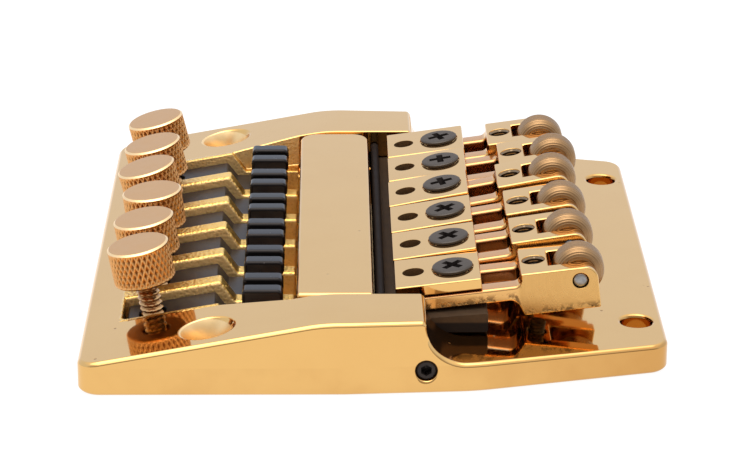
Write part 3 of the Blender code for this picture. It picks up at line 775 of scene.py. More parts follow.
def gold_plate(nodes, colours, at):
    """Colour, roughness and height of mirror plate: faint streaks, smudges and a few pinholes."""
    streaks = nodes.noise(nodes.stretch(at, 3.2, 0.07, 0.5), 1.0, 4.0)
    smudge = nodes.noise(at, 0.11, 3.0, 0.6)
    pinholes = specks(nodes, at, 0.42, 0.11, 0.62)
    wave = nodes.noise(at, 0.16, 1.0)
    tint = nodes.blend(nodes.step(smudge, 0.3, 0.75) * 0.35, colours.gold, (0.73, 0.422, 0.142))
    tint = nodes.blend(pinholes * 0.75, tint, (0.30, 0.16, 0.05))
    rough = colours.polish + nodes.step(smudge, 0.35, 0.8) * 0.06
    rough = rough + (streaks - 0.5) * 0.03 + pinholes * 0.3
    return tint, rough, wave * 0.6 + streaks * 0.012 - pinholes * 0.5


def polished_gold(nodes, colours, at):
    tint, rough, height = gold_plate(nodes, colours, at)
    return tint, rough, nodes.bump(height, PLATE_RELIEF)


def cast_gold(nodes, colours, at):
    """The base frame: mirror plate outside, and the sparkling grain of the casting on the comb."""
    x, y, z = nodes.axes(at)
    across = abs(y)
    tint, rough, height = gold_plate(nodes, colours, at)

    # The comb, and the inner walls of the rails beside it
    edge = (nodes.noise(at, 0.9, 2.0) - 0.5) * 0.7
    inside = nodes.step(x + edge, SLOT_START_X - 0.45, SLOT_START_X - 0.1)
    inside = inside * nodes.fall(x, POCKET_BACK_X - 0.1, POCKET_BACK_X + 0.2)
    sideways = nodes.axes(nodes.add("ShaderNodeNewGeometry", {}, {}, "Normal"))[1]
    upright = nodes.step(abs(sideways), 0.5, 0.9)
    wall = upright * nodes.fall(across, 34.5, 35.0)
    floor = nodes.fall(across + edge, 30.9, 31.3)
    inside = inside * nodes.most(wall, floor)
    upright = upright * inside
    fine = nodes.noise(at, 3.4, 2.0, 0.6)
    grain = nodes.step(nodes.cells(at, 2.1), 0.05, 0.75) * 0.6 + fine * 0.8
    low = nodes.fall(grain, 0.4, 0.8)
    # The comb's deeper yellow is partly the cast metal's own colour and partly painted reflection
    # of the gold around it
    tint = nodes.blend(inside, tint, (1.0, 0.62, 0.15))
    # Painted highlight: the upright faces of the ribs and the rails' inner walls are paler, as if
    # they caught light
    tint = nodes.blend(upright * 0.8, tint, (1.0, 0.74, 0.38))
    # Painted shade and reflection: the pits of the grain are darker and more orange
    tint = nodes.blend(inside * low * 0.2, tint, colours.cast)

    # Screw seats: satin and paler inside
    seat_x, seat_y = x - REAR_HOLE[0], across - REAR_HOLE[1]
    seat = nodes.fall(seat_x * seat_x + seat_y * seat_y, 12.2, 13.2)
    tint = nodes.blend(seat * 0.85, tint, (0.93, 0.66, 0.33))

    # Long sides: painted shade that browns them towards the neck, with cloudy stains
    cloud = nodes.noise(at, 0.13, 3.0, 0.55)
    low_down = nodes.fall(z, 3.85, 4.1)
    shade_and_stain = low_down * nodes.step(x, 0.0, 44.0) + nodes.step(cloud, 0.42, 0.72) * 0.25 * low_down
    tint = nodes.blend(nodes.least(shade_and_stain, 1.0), tint, (0.61, 0.325, 0.102))
    rough = rough + inside * (0.18 + fine * 0.14) + upright * 0.36 + seat * 0.32
    smooth = nodes.bump(height, PLATE_RELIEF)
    return tint, rough, nodes.bump(grain * inside * (1 - upright * 0.3), 0.095, smooth)


def saddle_gold(nodes, colours, at):
    """The saddles: mirror plate on top, satin sides with rings round the pin, and rosy arms."""
    size = in_mm("saddles")
    u, v, w = nodes.own_axes()
    tint, rough, height = gold_plate(nodes, colours, at)
    across = abs(v)
    arm = nodes.fall(u, BLOCK_X[0] - 0.9, BLOCK_X[0] - 0.1)
    from_pin = nodes.away(u - PIN_X, w - PIN_Z)
    rings = nodes.noise(nodes.vector(from_pin * 4.0), 1.0, 3.0, 0.6)
    mottle = nodes.noise(at, 0.9, 3.0, 0.6)
    fork = nodes.fall(across, size.fork / 2, size.fork / 2 + 0.12)
    fork = fork * nodes.fall(u, FORK_END, FORK_END + 0.2)
    face = nodes.step(across, size.width / 2 - 0.1, size.width / 2 - 0.02)
    side = face * (1 - arm)
    tint = nodes.blend(arm * (0.7 + mottle * 0.3) * (1 - face * 0.7), tint, colours.rose)
    tint = nodes.blend(side * (0.25 + rings * 0.6), tint, (0.56, 0.31, 0.10))

    # Painted shade inside the height screw's hole and in the fork
    from_hole = nodes.away(u - HEIGHT_HOLE_X, v)
    bore = nodes.fall(from_hole, HEIGHT_HOLE_RADIUS + 0.14, HEIGHT_HOLE_RADIUS + 0.18)
    bore = bore * nodes.fall(w, size.top - 0.16, size.top - 0.1)
    tint = nodes.blend(bore * 0.85, tint, (0.16, 0.125, 0.095))
    tint = nodes.blend(fork * 0.8, tint, (0.22, 0.075, 0.03))

    # Bare spots along the feet of the outer sides
    above_foot = w - (1 - arm) * BLOCK_BOTTOM
    bare = nodes.step(nodes.noise(at, 1.1, 4.0, 0.7), 0.47, 0.56)
    bare = bare * nodes.fall(above_foot, 0.3, 1.4) * face
    tint = nodes.blend(bare * 0.8, tint, (0.11, 0.065, 0.03))
    rough = rough + arm * 0.13 + side * (0.14 + mottle * 0.14) + bare * 0.15
    return tint, rough, nodes.bump(height + rings * side * 0.35 - bare * 0.3, PLATE_RELIEF)


def knurled_gold(nodes, colours, at):
    """Satin plate: turned rings on the knob's top, darker dimples in its knurl as painted shade,
    and a paler chamfer as a painted highlight.
    """
    size = in_mm("knobs")
    u, v, w = nodes.own_axes()
    radius = nodes.away(u, v)
    rings = nodes.noise(nodes.vector(radius * 6.0), 1.0, 3.0)
    smudge = nodes.noise(at, 0.5, 3.0, 0.6)
    worn = nodes.noise(at, 6.0, 2.0)
    top = nodes.step(w, size.height - 0.06, size.height - 0.02)
    rim = nodes.step(w, size.height - size.chamfer - 0.06, size.height - size.chamfer)
    pit = nodes.fall(radius, size.radius - 0.24, size.radius - 0.05) * (1 - rim)
    tint = nodes.blend(smudge * 0.4, colours.satin, (0.55, 0.32, 0.14))
    side = nodes.blend(nodes.step(worn, 0.35, 0.7) * 0.5, colours.knurl, (0.62, 0.30, 0.09))
    # Painted shade in the dimples of the knurl
    side = nodes.blend(pit * 0.85, side, (0.30, 0.13, 0.04))
    tint = nodes.blend(1 - rim, tint, side)
    # Painted highlight: a paler chamfer round the top
    tint = nodes.blend(rim * (1 - top), tint, (0.95, 0.66, 0.34))
    rough = 0.28 + smudge * 0.12 + top * 0.08 + pit * 0.12 + (worn - 0.5) * 0.06
    return tint, rough, nodes.bump(rings * top * 0.5 + worn * (0.3 + pit), 0.02)


def threaded_gold(nodes, colours, at):
    """The stems: duller plate, with painted shade that browns the roots of the thread."""
    size = in_mm("knobs")
    u, v, _ = nodes.own_axes()
    root = nodes.fall(nodes.away(u, v), size.stem - size.thread, size.stem - 0.06)
    smudge = nodes.noise(at, 1.4, 3.0)
    # Painted shade at the roots of the thread
    tint = nodes.blend(root * 0.85, colours.satin, (0.22, 0.095, 0.03))
    return tint, 0.14 + smudge * 0.16, nodes.bump(smudge, 0.01)


def satin_black(nodes, colours, at):
    """Black plate on the levers and the side screws: faint grain, dust and flecks."""
    grain = nodes.noise(nodes.stretch(at, 0.8, 5.0, 5.0), 1.0, 3.0)
    dust = nodes.noise(at, 0.35, 4.0, 0.6)
    flecks = specks(nodes, at, 1.1, 0.16, 0.60)
    tint = nodes.blend(nodes.step(dust, 0.4, 0.8) * 0.6, colours.black, (0.042, 0.033, 0.027))
    tint = nodes.blend(flecks * 0.6, tint, (0.16, 0.14, 0.12))
    rough = 0.30 + dust * 0.16 + (grain - 0.5) * 0.10 + flecks * 0.2
    return tint, rough, nodes.bump(grain, 0.006)


def bar_black(nodes, colours, at):
    """The saddle bar: black on its bead, and behind it a patchy brown that is painted reflection of
    the gold on its shaded top.
    """
    x, _, z = nodes.axes(at)
    bead_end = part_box("saddle_bar")[0].x / MM + in_mm("bars").bead
    grain = nodes.noise(nodes.stretch(at, 5.0, 0.5, 5.0), 1.0, 3.0)
    painted_reflection = nodes.noise(at, 0.5, 4.0, 0.6)
    behind = nodes.step(x, bead_end - 0.1, bead_end + 0.1) * nodes.step(z, 5.6, 6.0)
    # Painted reflection: the brown behind the bead stands for gold reflected on the shaded top
    tint = nodes.blend(behind * (0.4 + painted_reflection * 0.8), colours.black, colours.brown)
    rough = 0.36 + painted_reflection * 0.2 + (grain - 0.5) * 0.12
    return tint, rough, nodes.bump(grain, 0.008)


def gloss_black(nodes, colours, at):
    """Black lacquer on the claws, smoother than the levers."""
    smudge = nodes.noise(at, 0.8, 3.0, 0.6)
    flecks = specks(nodes, at, 1.3, 0.13, 0.60)
    tint = nodes.blend(flecks * 0.6, (0.007, 0.006, 0.006), (0.12, 0.11, 0.10))
    return tint, 0.07 + smudge * 0.10 + flecks * 0.3, nodes.bump(smudge, 0.012)


def recess_black(nodes, colours, at):
    """Painted shade in the bottoms of the screws' recesses: near-black and mottled, with hardly any
    highlight.
    """
    shade_mottle = nodes.noise(at, 2.0, 3.0)
    return nodes.blend(shade_mottle * 0.4, colours.black, (0.030, 0.022, 0.016)), 0.5 + shade_mottle * 0.2


def bore_brown(nodes, colours, at):
    """Painted shade on the walls of the plates' open holes: dull and brown."""
    shade_mottle = nodes.noise(at, 1.4, 3.0)
    return nodes.blend(shade_mottle * 0.5, (0.38, 0.225, 0.105), (0.26, 0.15, 0.065)), 0.42 + shade_mottle * 0.15


def black_oxide(nodes, colours, at):
    """Charcoal screws, a little lighter where they are handled."""
    patina = nodes.noise(at, 0.9, 4.0, 0.6)
    fine = nodes.noise(at, 9.0, 2.0)
    tint = nodes.blend(patina * 0.6, colours.oxide, (0.094, 0.081, 0.070))
    return tint, 0.34 + patina * 0.16 + (fine - 0.5) * 0.08, nodes.bump(fine, 0.006)


def turned_brass(nodes, colours, at):
    """Matt rollers with fine tool lines round them, and a paler, smoother crown that is a painted
    highlight.
    """
    size = in_mm("saddles")
    u, v, w = nodes.own_axes()
    radius = nodes.away(u, w)
    lines = nodes.noise(nodes.vector(v * 9.0, radius * 9.0), 1.0, 3.0, 0.65)
    patina = nodes.noise(at, 0.45, 4.0, 0.65)
    crown = nodes.step(radius, size.roller - 0.9, size.roller - 0.2)
    tint = nodes.blend(nodes.step(patina, 0.3, 0.8) * 0.6, colours.brass, (0.25, 0.138, 0.060))
    # Painted highlight on the crown
    tint = nodes.blend(crown * 0.25, tint, (0.44, 0.265, 0.125))
    rough = 0.26 + patina * 0.14 - crown * 0.05 + (lines - 0.5) * 0.12
    return tint, rough, nodes.bump(lines, 0.02)


def grey_steel(nodes, colours, at):
    """Pins and the hooks' shaft: ground, with small scratches and grey bloom."""
    scratch = nodes.noise(nodes.stretch(at, 8.0, 0.8, 3.0), 1.0, 3.0)
    bloom = nodes.noise(at, 1.6, 3.0, 0.6)
    tint = nodes.blend(nodes.step(bloom, 0.35, 0.7) * 0.6, colours.steel, (0.20, 0.20, 0.215))
    return tint, 0.26 + bloom * 0.18 + (scratch - 0.5) * 0.1, nodes.bump(scratch, 0.01)


def floor_grey(nodes, colours, at):
    return (0.14, 0.14, 0.14, 1.0), 0.85 + nodes.noise(at, 0.02, 3.0) * 0.1


def sheen(metallic, level=None, tint=None):
    """The shader's fixed inputs: metal or not, and how strong and how warm its highlights are."""
    fixed = {"Metallic": metallic}
    if level is not None:
        fixed["Specular IOR Level"] = level
    if tint:
        fixed["Specular Tint"] = (*tint, 1.0)
    return fixed


LACQUER_TINT = (1.0, 0.86, 0.79)
FINISHES = {
    polished_gold: sheen(1.0), cast_gold: sheen(1.0), saddle_gold: sheen(1.0),
    knurled_gold: sheen(1.0), threaded_gold: sheen(1.0), turned_brass: sheen(1.0),
    grey_steel: sheen(1.0), bore_brown: sheen(1.0), recess_black: sheen(0.0, 0.05),
    satin_black: sheen(0.0, 0.29, LACQUER_TINT), gloss_black: sheen(0.0, 0.25, LACQUER_TINT),
    bar_black: sheen(0.0, 0.015, (1.0, 0.8, 0.68)),
    black_oxide: sheen(0.75, None, (1.0, 0.86, 0.74)),
}


def surface(name, paint, fixed):
    """A material from a function for its varying inputs and a table of its fixed ones."""
    material = bpy.data.materials.new(f"bridge_{name}")
    material.use_nodes = True
    nodes = Nodes(material.node_tree)
    tint, rough, *normal = paint(nodes, bpy.context.scene.bridge_finishes, nodes.place())
    sockets = {**fixed, "Base Color": tint, "Roughness": rough}
    if normal:
        sockets["Normal"] = normal[0]
    shader = nodes.add("ShaderNodeBsdfPrincipled", {}, sockets)
    nodes.add("ShaderNodeOutputMaterial", {}, {"Surface": shader})
    return material


def finish(name):
    """The material of a finish, made the first time that it is asked for."""
    made = bpy.data.materials.get(f"bridge_{name}")
    if made:
        return made
    paint = next(paint for paint in FINISHES if paint.__name__ == name)
    return surface(name, paint, FINISHES[paint])


# Sleeves: the knurl of the knobs, the threads and the ridges of the rollers


SLEEVE_INPUTS = {
    "Radius": "Float", "Length": "Float", "Depth": "Float", "Shoulder": "Float", "Starts": "Float",
    "Turns": "Float", "Crossed": "Float", "Fade": "Float", "Around": "Int", "Along": "Int",
    "Material": "Material",
}


def sleeve_tree():
    """Builds the tree that wraps a grid into a tube whose wall follows one or two sets of waves."""
    tree = bpy.data.node_groups.new("cut_sleeve", "GeometryNodeTree")
    for name, kind in SLEEVE_INPUTS.items():
        tree.interface.new_socket(name, in_out="INPUT", socket_type=f"NodeSocket{kind}")
    tree.interface.new_socket("Geometry", in_out="OUTPUT", socket_type="NodeSocketGeometry")
    nodes = Nodes(tree)
    names = tuple(SLEEVE_INPUTS)
    size = dict(zip(names, nodes.add("NodeGroupInput", {}, {}, names)))
    grid = nodes.add("GeometryNodeMeshGrid", {}, {
        "Size X": 1.0, "Size Y": 1.0,
        "Vertices X": size["Around"] + 1, "Vertices Y": size["Along"] + 1})
    x, y, _ = nodes.axes(nodes.add("GeometryNodeInputPosition"))
    u = x + 0.5
    v = y + 0.5

    def wave(phase):
        """0 at whole turns and 1 half way between them."""
        return nodes.maths("PINGPONG", phase, 0.5) * 2

    one = wave(size["Starts"] * u + size["Turns"] * v)
    other = wave(size["Starts"] * u - size["Turns"] * v + 1000)
    cut = one + (nodes.least(one, other) - one) * size["Crossed"]

    # Along the wall: a quarter round at each end and a straight run between them
    shoulder = size["Shoulder"]
    wall = size["Length"] + shoulder * (math.pi - 2)
    from_end = nodes.least(v, 1 - v) * wall
    turn = nodes.least(from_end / shoulder, math.pi / 2)
    sine, cosine = nodes.maths("SINE", turn), nodes.maths("COSINE", turn)
    cut = cut * size["Depth"] * nodes.step(from_end, 0.0, size["Fade"])
    straight = nodes.most(from_end - shoulder * (math.pi / 2), 0.0)
    inwards = shoulder * (1 - cosine) + straight + cut * cosine
    radius = size["Radius"] - shoulder * (1 - sine) - cut * sine
    half = size["Length"] / 2
    height = half + nodes.maths("SIGN", y) * (half - inwards)
    angle = u * (2 * math.pi)
    wrapped = nodes.vector(
        radius * nodes.maths("COSINE", angle), radius * nodes.maths("SINE", angle), height)
    tube = nodes.add("GeometryNodeSetPosition", {}, {"Geometry": grid, "Position": wrapped})
    joined = nodes.add("GeometryNodeMergeByDistance", {}, {"Geometry": tube, "Distance": 0.0005})
    real = nodes.add("GeometryNodeRealizeInstances", {}, {"Geometry": joined})
    coloured = nodes.add("GeometryNodeSetMaterial", {}, {
        "Geometry": real, "Material": size["Material"]})
    nodes.add("NodeGroupOutput", {}, {"Geometry": coloured})
    return tree


def sleeve(material, **sizes):
    """A tube along Z from 0 to its length, open at both ends, from the sleeve tree."""
    tree = bpy.data.node_groups.get("cut_sleeve") or sleeve_tree()
    obj = placed("sleeve", bpy.data.meshes.new("sleeve"))
    modifier = obj.modifiers.new("sleeve", "NODES")
    modifier.node_group = tree
    values = {"Shoulder": 0.0001, "Crossed": 0.0, "Fade": 0.3, "Material": material, **sizes}
    for item in tree.interface.items_tree:
        if item.in_out == "INPUT":
            modifier[item.identifier] = values[item.name]
    return opened(settled(obj))


def welded(name, *works):
    """Joins skins whose rims meet into one closed piece."""
    obj = solid(name, *works)
    work = opened(obj.data)
    weld(work, RIM_WELD)
    bmesh.ops.recalc_face_normals(work, faces=work.faces)
    stored(work, obj.data)
    return obj


def threaded(name, radius, depth, pitch, low, high, finish_name, *cutters):
    """A threaded rod from low to high with chamfered ends; cutters go into its top."""
    reach = high - low - 2 * depth
    turns = round(reach / pitch)
    thread = sleeve(
        finish(finish_name), Radius=radius, Length=reach, Depth=depth, Starts=1.0,
        Turns=float(turns), Fade=pitch * 0.8, Around=THREAD_STEPS, Along=turns * 10)
    moved(thread, shift(z=low + depth))
    rim = radius - depth
    top = skin([(0.0, high), (rim, high), (radius, high - depth)], THREAD_STEPS)
    bottom = skin([(radius, low + depth), (rim, low), (0.0, low)], THREAD_STEPS)
    obj = welded(name, thread, top, bottom)
    for cutter in cutters:
        carve(obj, cutter)
    return finished(obj)


# Pieces


class BRIDGE_OT_base_frame(Operator):
    """Make the base frame with its comb, pocket, scoop and screw holes"""
    bl_idname = "bridge.base_frame"
    bl_label = "Base Frame"

    def execute(self, context):
        size = in_mm("base")
        plan = mirrored([
            (-LENGTH / 2, WIDTH / 2, size.corner), (WAIST_X, WIDTH / 2),
            (FLANGE_X, FLANGE_WIDTH[0] / 2, FLANGE_ROUND),
            (LENGTH / 2, FLANGE_WIDTH[1] / 2, size.corner)])
        base = solid("base", slab(plan, -BEYOND, RAIL_TOP + BEYOND))
        carve(base, self.side_view(size), operation="INTERSECT")
        soften(base, size.edge, 4, 50.0, profile=OUTER_PROFILE)
        base = placed("base", settled(base))
        for cutters in (
                [self.pocket(size)], [self.comb_space(size)], self.windows(), [self.groove()],
                self.rear_holes(), self.front_holes(size), self.lug_pockets(size),
                self.side_holes()):
            carve(base, *cutters)
        soften(base, size.inner_edge, 3, 40.0, profile=INNER_PROFILE)
        carve(base, *self.ribs(size), operation="UNION")
        deliver(finished(base), "base_frame", "polished_gold", finishes=("cast_gold",))
        return {"FINISHED"}

    def side_view(self, size):
        ramp_end = (RAIL_TOP - RAMP_START_Z) / math.tan(size.ramp) - LENGTH / 2
        end = LENGTH / 2 + BEYOND
        outline = rounded([
            (-end, 0.0), (end, 0.0), (end, size.flange),
            (RAIL_END_X, size.flange, SCOOP_RADIUS), (RAIL_END_X, RAIL_TOP),
            (ramp_end, RAIL_TOP, RAMP_ROUND), (-end, ramp_z(-end))])
        return side_slab(outline, WIDTH + 2 * BEYOND)

    def pocket(self, size):
        """The space between the rails: down a slope to the low ribs, then to the flange's top."""
        slope = (ramp_z(COMB_X[0]) - LOW_RIB_TOP) / (COMB_X[1] - COMB_X[0])
        above = RAIL_TOP + BEYOND
        slope_start = COMB_X[0] - (above - ramp_z(COMB_X[0])) / slope
        front = RAIL_END_X + SCOOP_RADIUS + BEYOND
        view = solid("pocket", side_slab(rounded([
            (COMB_X[1], LOW_RIB_TOP, RIB_FOOT_ROUND), (POCKET_BACK_X, LOW_RIB_TOP),
            (POCKET_BACK_X, size.flange), (front, size.flange), (front, above),
            (slope_start, above)]), WIDTH))
        plan = mirrored([
            (SLOT_START_X, COMB_HALF_WIDTH), (COMB_WIDENS_X, COMB_HALF_WIDTH),
            (POCKET_BACK_X, POCKET_HALF_WIDTH), (front + BEYOND, POCKET_HALF_WIDTH)])
        carve(view, slab(plan, 0.0, above + BEYOND), operation="INTERSECT")
        return opened(settled(view))

    def comb_space(self, size):
        """The room for the comb, from the outer side of the first slot to that of the last."""
        half = string_y(1) + size.slot / 2
        outline = rounded([
            (SLOT_START_X, -half, SLOT_END_ROUND), (POCKET_BACK_X, -half), (POCKET_BACK_X, half),
            (SLOT_START_X, half, SLOT_END_ROUND)])
        return slab(outline, SLOT_FLOOR, RAIL_TOP + BEYOND)

    def ribs(self, size):
        """The five ribs between the slots, cast with soft edges, whose ends run into the base."""
        start = SLOT_START_X - 0.6
        end = POCKET_BACK_X + 0.05
        foot = SLOT_FLOOR - 0.5
        outline = rounded([
            (start, foot), (end, foot), (end, LOW_RIB_TOP),
            (COMB_X[1], LOW_RIB_TOP, RIB_FOOT_ROUND),
            (COMB_X[0], ramp_z(COMB_X[0]) - RIB_SUNK, RIB_TOP_ROUND),
            (start, ramp_z(start) - RIB_SUNK)])
        pitch = string_y(1) - string_y(2)
        rib = solid("rib", side_slab(outline, pitch - size.slot))
        soften(rib, size.comb_edge, 3, 50.0)
        carve(rib, self.groove())
        mesh = settled(rib)
        return [
            moved(opened(mesh), shift(y=string_y(number) - pitch / 2)) for number in STRINGS[:-1]]

    def windows(self):
        """Openings in the slots' floors for the bosses of the hooks."""
        outline = rectangle(WINDOW_X, (-WINDOW_HALF_WIDTH, WINDOW_HALF_WIDTH))
        return for_strings(lambda: slab(outline, -BEYOND, SLOT_FLOOR + BEYOND))

    def groove(self):
        """A round-topped groove across the underside that seats the hooks' shaft."""
        shaft = joint_place("hook_tilt_1")
        radius = SHAFT_RADIUS + GAP
        back, front, top = shaft.x - radius, shaft.x + radius, shaft.z + radius
        outline = rounded([
            (back, -BEYOND), (front, -BEYOND), (front, top, radius * 0.95),
            (back, top, radius * 0.95)])
        return side_slab(outline, 2 * GROOVE_HALF_LENGTH)

    def rear_holes(self):
        """Countersunk screw holes through the ramp."""
        surface_z = ramp_z(REAR_HOLE[0])
        wide, deep = COUNTERSINK
        top = surface_z + 2.0 * deep / (wide - REAR_HOLE_RADIUS)
        profile = [
            (0.0, top), (wide + 2.0, top), (REAR_HOLE_RADIUS, surface_z - deep),
            (REAR_HOLE_RADIUS, -BEYOND), (0.0, -BEYOND)]
        return for_sides(lambda: moved(turned(profile), shift(REAR_HOLE[0])), REAR_HOLE[1])

    def front_holes(self, size):
        """Plain screw holes through the flange, with their rims broken."""
        top = size.flange + BEYOND
        profile = [
            (0.0, top), (FRONT_HOLE_RADIUS + 1.3, top), (FRONT_HOLE_RADIUS, size.flange - 0.3),
            (FRONT_HOLE_RADIUS, -BEYOND), (0.0, -BEYOND)]
        return for_sides(lambda: moved(turned(profile), shift(FRONT_HOLE[0])), FRONT_HOLE[1])

    def lug_pockets(self, size):
        """Sockets in the floor for the saddle bar's lugs."""
        middle = (LUG_Y[0] - LUG_GAP + POCKET_HALF_WIDTH) / 2
        half = POCKET_HALF_WIDTH - middle
        outline = rectangle((LUG_X[0] - LUG_GAP, LUG_X[1] + LUG_GAP), (-half, half))
        low, high = LUG_BOTTOM - LUG_GAP, size.flange + BEYOND
        return for_sides(lambda: slab(outline, low, high), middle)

    def side_holes(self):
        """Countersunk holes for the locking screws in the long sides."""
        mouth = side_screw_mouth()
        bore = SIDE_SCREW_RADIUS + 0.05
        slope = (SIDE_HOLE_RADIUS - bore) / SIDE_SINK
        profile = [
            (0.0, mouth + 2.0), (SIDE_HOLE_RADIUS + 2.0 * slope, mouth + 2.0),
            (bore, mouth - SIDE_SINK), (bore, LUG_Y[1]), (0.0, LUG_Y[1])]
        place = shift(SIDE_SCREW[0], 0.0, SIDE_SCREW[1])
        return [moved(moved(turned(profile, 48), side), place) for side in SIDES.values()]


class BRIDGE_OT_string_bar(Operator):
    """Make the plain bar that the strings cross between the hooks and the saddles"""
    bl_idname = "bridge.string_bar"
    bl_label = "String Bar"

    def execute(self, context):
        size = in_mm("bars")
        low, high = solid_box("string_bar")
        outline = rounded([
            (low.x, low.y), (high.x, low.y), (high.x, high.y, size.corner),
            (low.x, high.y, size.corner)])
        bar = solid("string_bar", slab(outline, low.z, high.z))
        soften(bar, size.edge, 4, 50.0, profile=OUTER_PROFILE)
        deliver(finished(bar), "string_bar", "polished_gold")
        return {"FINISHED"}


class BRIDGE_OT_saddle_bar(Operator):
    """Make the black bar under the saddles, with its bead, lugs and clamp holes"""
    bl_idname = "bridge.saddle_bar"
    bl_label = "Saddle Bar"

    def execute(self, context):
        size = in_mm("bars")
        low, high = solid_box("saddle_bar")
        bottom = joint_place("saddle_height_1").z - BAR_BELOW_PIVOT
        bead_end = low.x + size.bead
        bead_round = size.bead * 0.48
        outline = rounded([
            (low.x, bottom), (high.x, bottom, 0.4), (high.x, BAR_TOP[1], 0.4),
            (bead_end, BAR_TOP[0], 0.2), (bead_end, high.z, bead_round),
            (low.x, high.z, bead_round)])
        bar = solid("saddle_bar", side_slab(outline, high.y - low.y))
        middle = (LUG_Y[0] + LUG_Y[1]) / 2
        half = middle - LUG_Y[0]
        lug = rectangle(LUG_X, (-half, half))
        lugs = for_sides(lambda: slab(lug, LUG_BOTTOM, bottom + 0.5), middle)
        carve(bar, *lugs, operation="UNION")
        for number in STRINGS:
            hole = rod(CLAMP_SHANK_RADIUS + SHANK_GAP, -8.0, 8.0)
            carve(bar, moved(hole, arm_place(number) @ shift(CLAMP_SCREW_X)))
        soften(bar, 0.12, 2)
        deliver(finished(bar), "saddle_bar", "satin_black", finishes=("bar_black",))
        return {"FINISHED"}


class BRIDGE_OT_hooks(Operator):
    """Make the six string hooks and the shaft that they turn on"""
    bl_idname = "bridge.hooks"
    bl_label = "String Hooks"

    def execute(self, context):
        hook = self.hook(context, in_mm("hooks"), joint_place("hook_tilt_1"))
        finishes = ("satin_black", "gloss_black")
        for number in STRINGS:
            place = hook_place(number)
            deliver(hook, f"string_hook_{number}", "satin_black", place, finishes)
        low, high = solid_box("hook_shaft")
        along = rod(SHAFT_RADIUS, low.y, high.y, chamfer=0.2)
        shaft = solid("hook_shaft", moved(along, ACROSS.inverted()))
        place = shift((low.x + high.x) / 2, 0.0, (low.z + high.z) / 2)
        deliver(finished(shaft), "hook_shaft", "grey_steel", place)
        return {"FINISHED"}

    def outline(self, size, shaft):
        """Side view about the shaft: lever, low saddle, claw post, claw and boss."""
        def top(x):
            return ramp_z(x) - LEVER_DROP

        back, front = CLAW_X
        under_x = LEVER_BEND_X - 1.3
        claw_under = size.claw_top - size.claw
        corners = [
            (LEVER_END_X, top(LEVER_END_X) - size.lever, 0.3),
            (under_x, top(under_x) - size.lever, 0.8),
            (shaft.x - BOSS_RADIUS, shaft.z - BOSS_RADIUS, 1.9),
            (shaft.x + BOSS_RADIUS - 0.3, shaft.z - BOSS_RADIUS, 1.3),
            (CLAW_POST_X, shaft.z, 0.5), (CLAW_POST_X, claw_under, 0.8),
            (front, claw_under, 0.7), (front, size.claw_top, 0.8), (back, size.claw_top, 0.6),
            (back, HOOK_SADDLE_Z, 0.4), (LEVER_BEND_X + 1.5, HOOK_SADDLE_Z, 0.3),
            (LEVER_BEND_X, top(LEVER_BEND_X), 0.3), (LEVER_END_X, top(LEVER_END_X), 0.3)]
        return rounded([(x - shaft.x, z - shaft.z, radius) for x, z, radius in corners])

    def hook(self, context, size, shaft):
        hook = solid("hook", side_slab(self.outline(size, shaft), size.width))
        carve(hook, moved(rod(SHAFT_RADIUS + GAP, -size.width, size.width), ACROSS))
        back, front = (x - shaft.x for x in CLAW_X)
        floor = CLAW_SLOT_FLOOR - shaft.z
        top = size.claw_top - shaft.z + BEYOND
        slot = rectangle((back - BEYOND, front + BEYOND), (floor, top))
        carve(hook, side_slab(slot, size.gap))
        stem = joint_place("screw_travel_1") - shaft
        lean = Matrix.Rotation(-context.scene.bridge_base.ramp, 4, "Y")
        stem_hole = rod(context.scene.bridge_knobs.stem / MM + GAP, -4.0, 4.0)
        carve(hook, moved(stem_hole, Matrix.Translation(stem) @ lean))

        def edge_width(middle):
            on_claw = middle.x > back - 0.1 and middle.z > floor + 0.3
            return size.claw_edge if on_claw else size.edge

        mesh = finished(soften_unevenly(hook, size.claw_edge, edge_width, 4, 35.0))
        return choose_second(mesh, lambda middle: middle.x > back - 0.2)


class BRIDGE_OT_thumbscrews(Operator):
    """Make the six knurled knobs and their threaded stems"""
    bl_idname = "bridge.thumbscrews"
    bl_label = "Thumbscrews"

    def execute(self, context):
        size = in_mm("knobs")
        stem = threaded(
            "stem", size.stem, size.thread, size.pitch, STEM_TIP, STEM_TOP, "threaded_gold")
        knob = self.knob(size)
        for number in STRINGS:
            place = stem_place(number)
            deliver(stem, f"tuner_screw_{number}", "knurled_gold", place, ("threaded_gold",))
            turn = Matrix.Rotation(math.radians(KNOB_TURN * number), 4, "Z")
            place = knob_place(number, size) @ turn
            deliver(knob, f"tuner_knob_{number}", "knurled_gold", place)
        return {"FINISHED"}

    def knob(self, size):
        around = size.columns * 8
        rim, cut, high = size.radius, size.chamfer, size.height
        knurl = sleeve(
            finish("knurled_gold"), Radius=rim, Length=high - 2 * cut, Depth=size.knurl,
            Starts=float(size.columns), Turns=size.rows, Crossed=1.0, Fade=0.35, Around=around,
            Along=48)
        moved(knurl, shift(z=cut))
        bore = size.stem + GAP
        top = skin([
            (0.0, high), (rim - cut - 0.12, high), (rim - cut - 0.02, high - 0.03),
            (rim - 0.06, high - cut + 0.04), (rim, high - cut)], around)
        bottom = skin([
            (rim, cut), (rim - cut, 0.0), (bore + 0.2, 0.0), (bore, 0.2),
            (bore, KNOB_BORE_DEPTH), (0.0, KNOB_BORE_DEPTH)], around)
        return finished(welded("knob", knurl, top, bottom), 50.0)


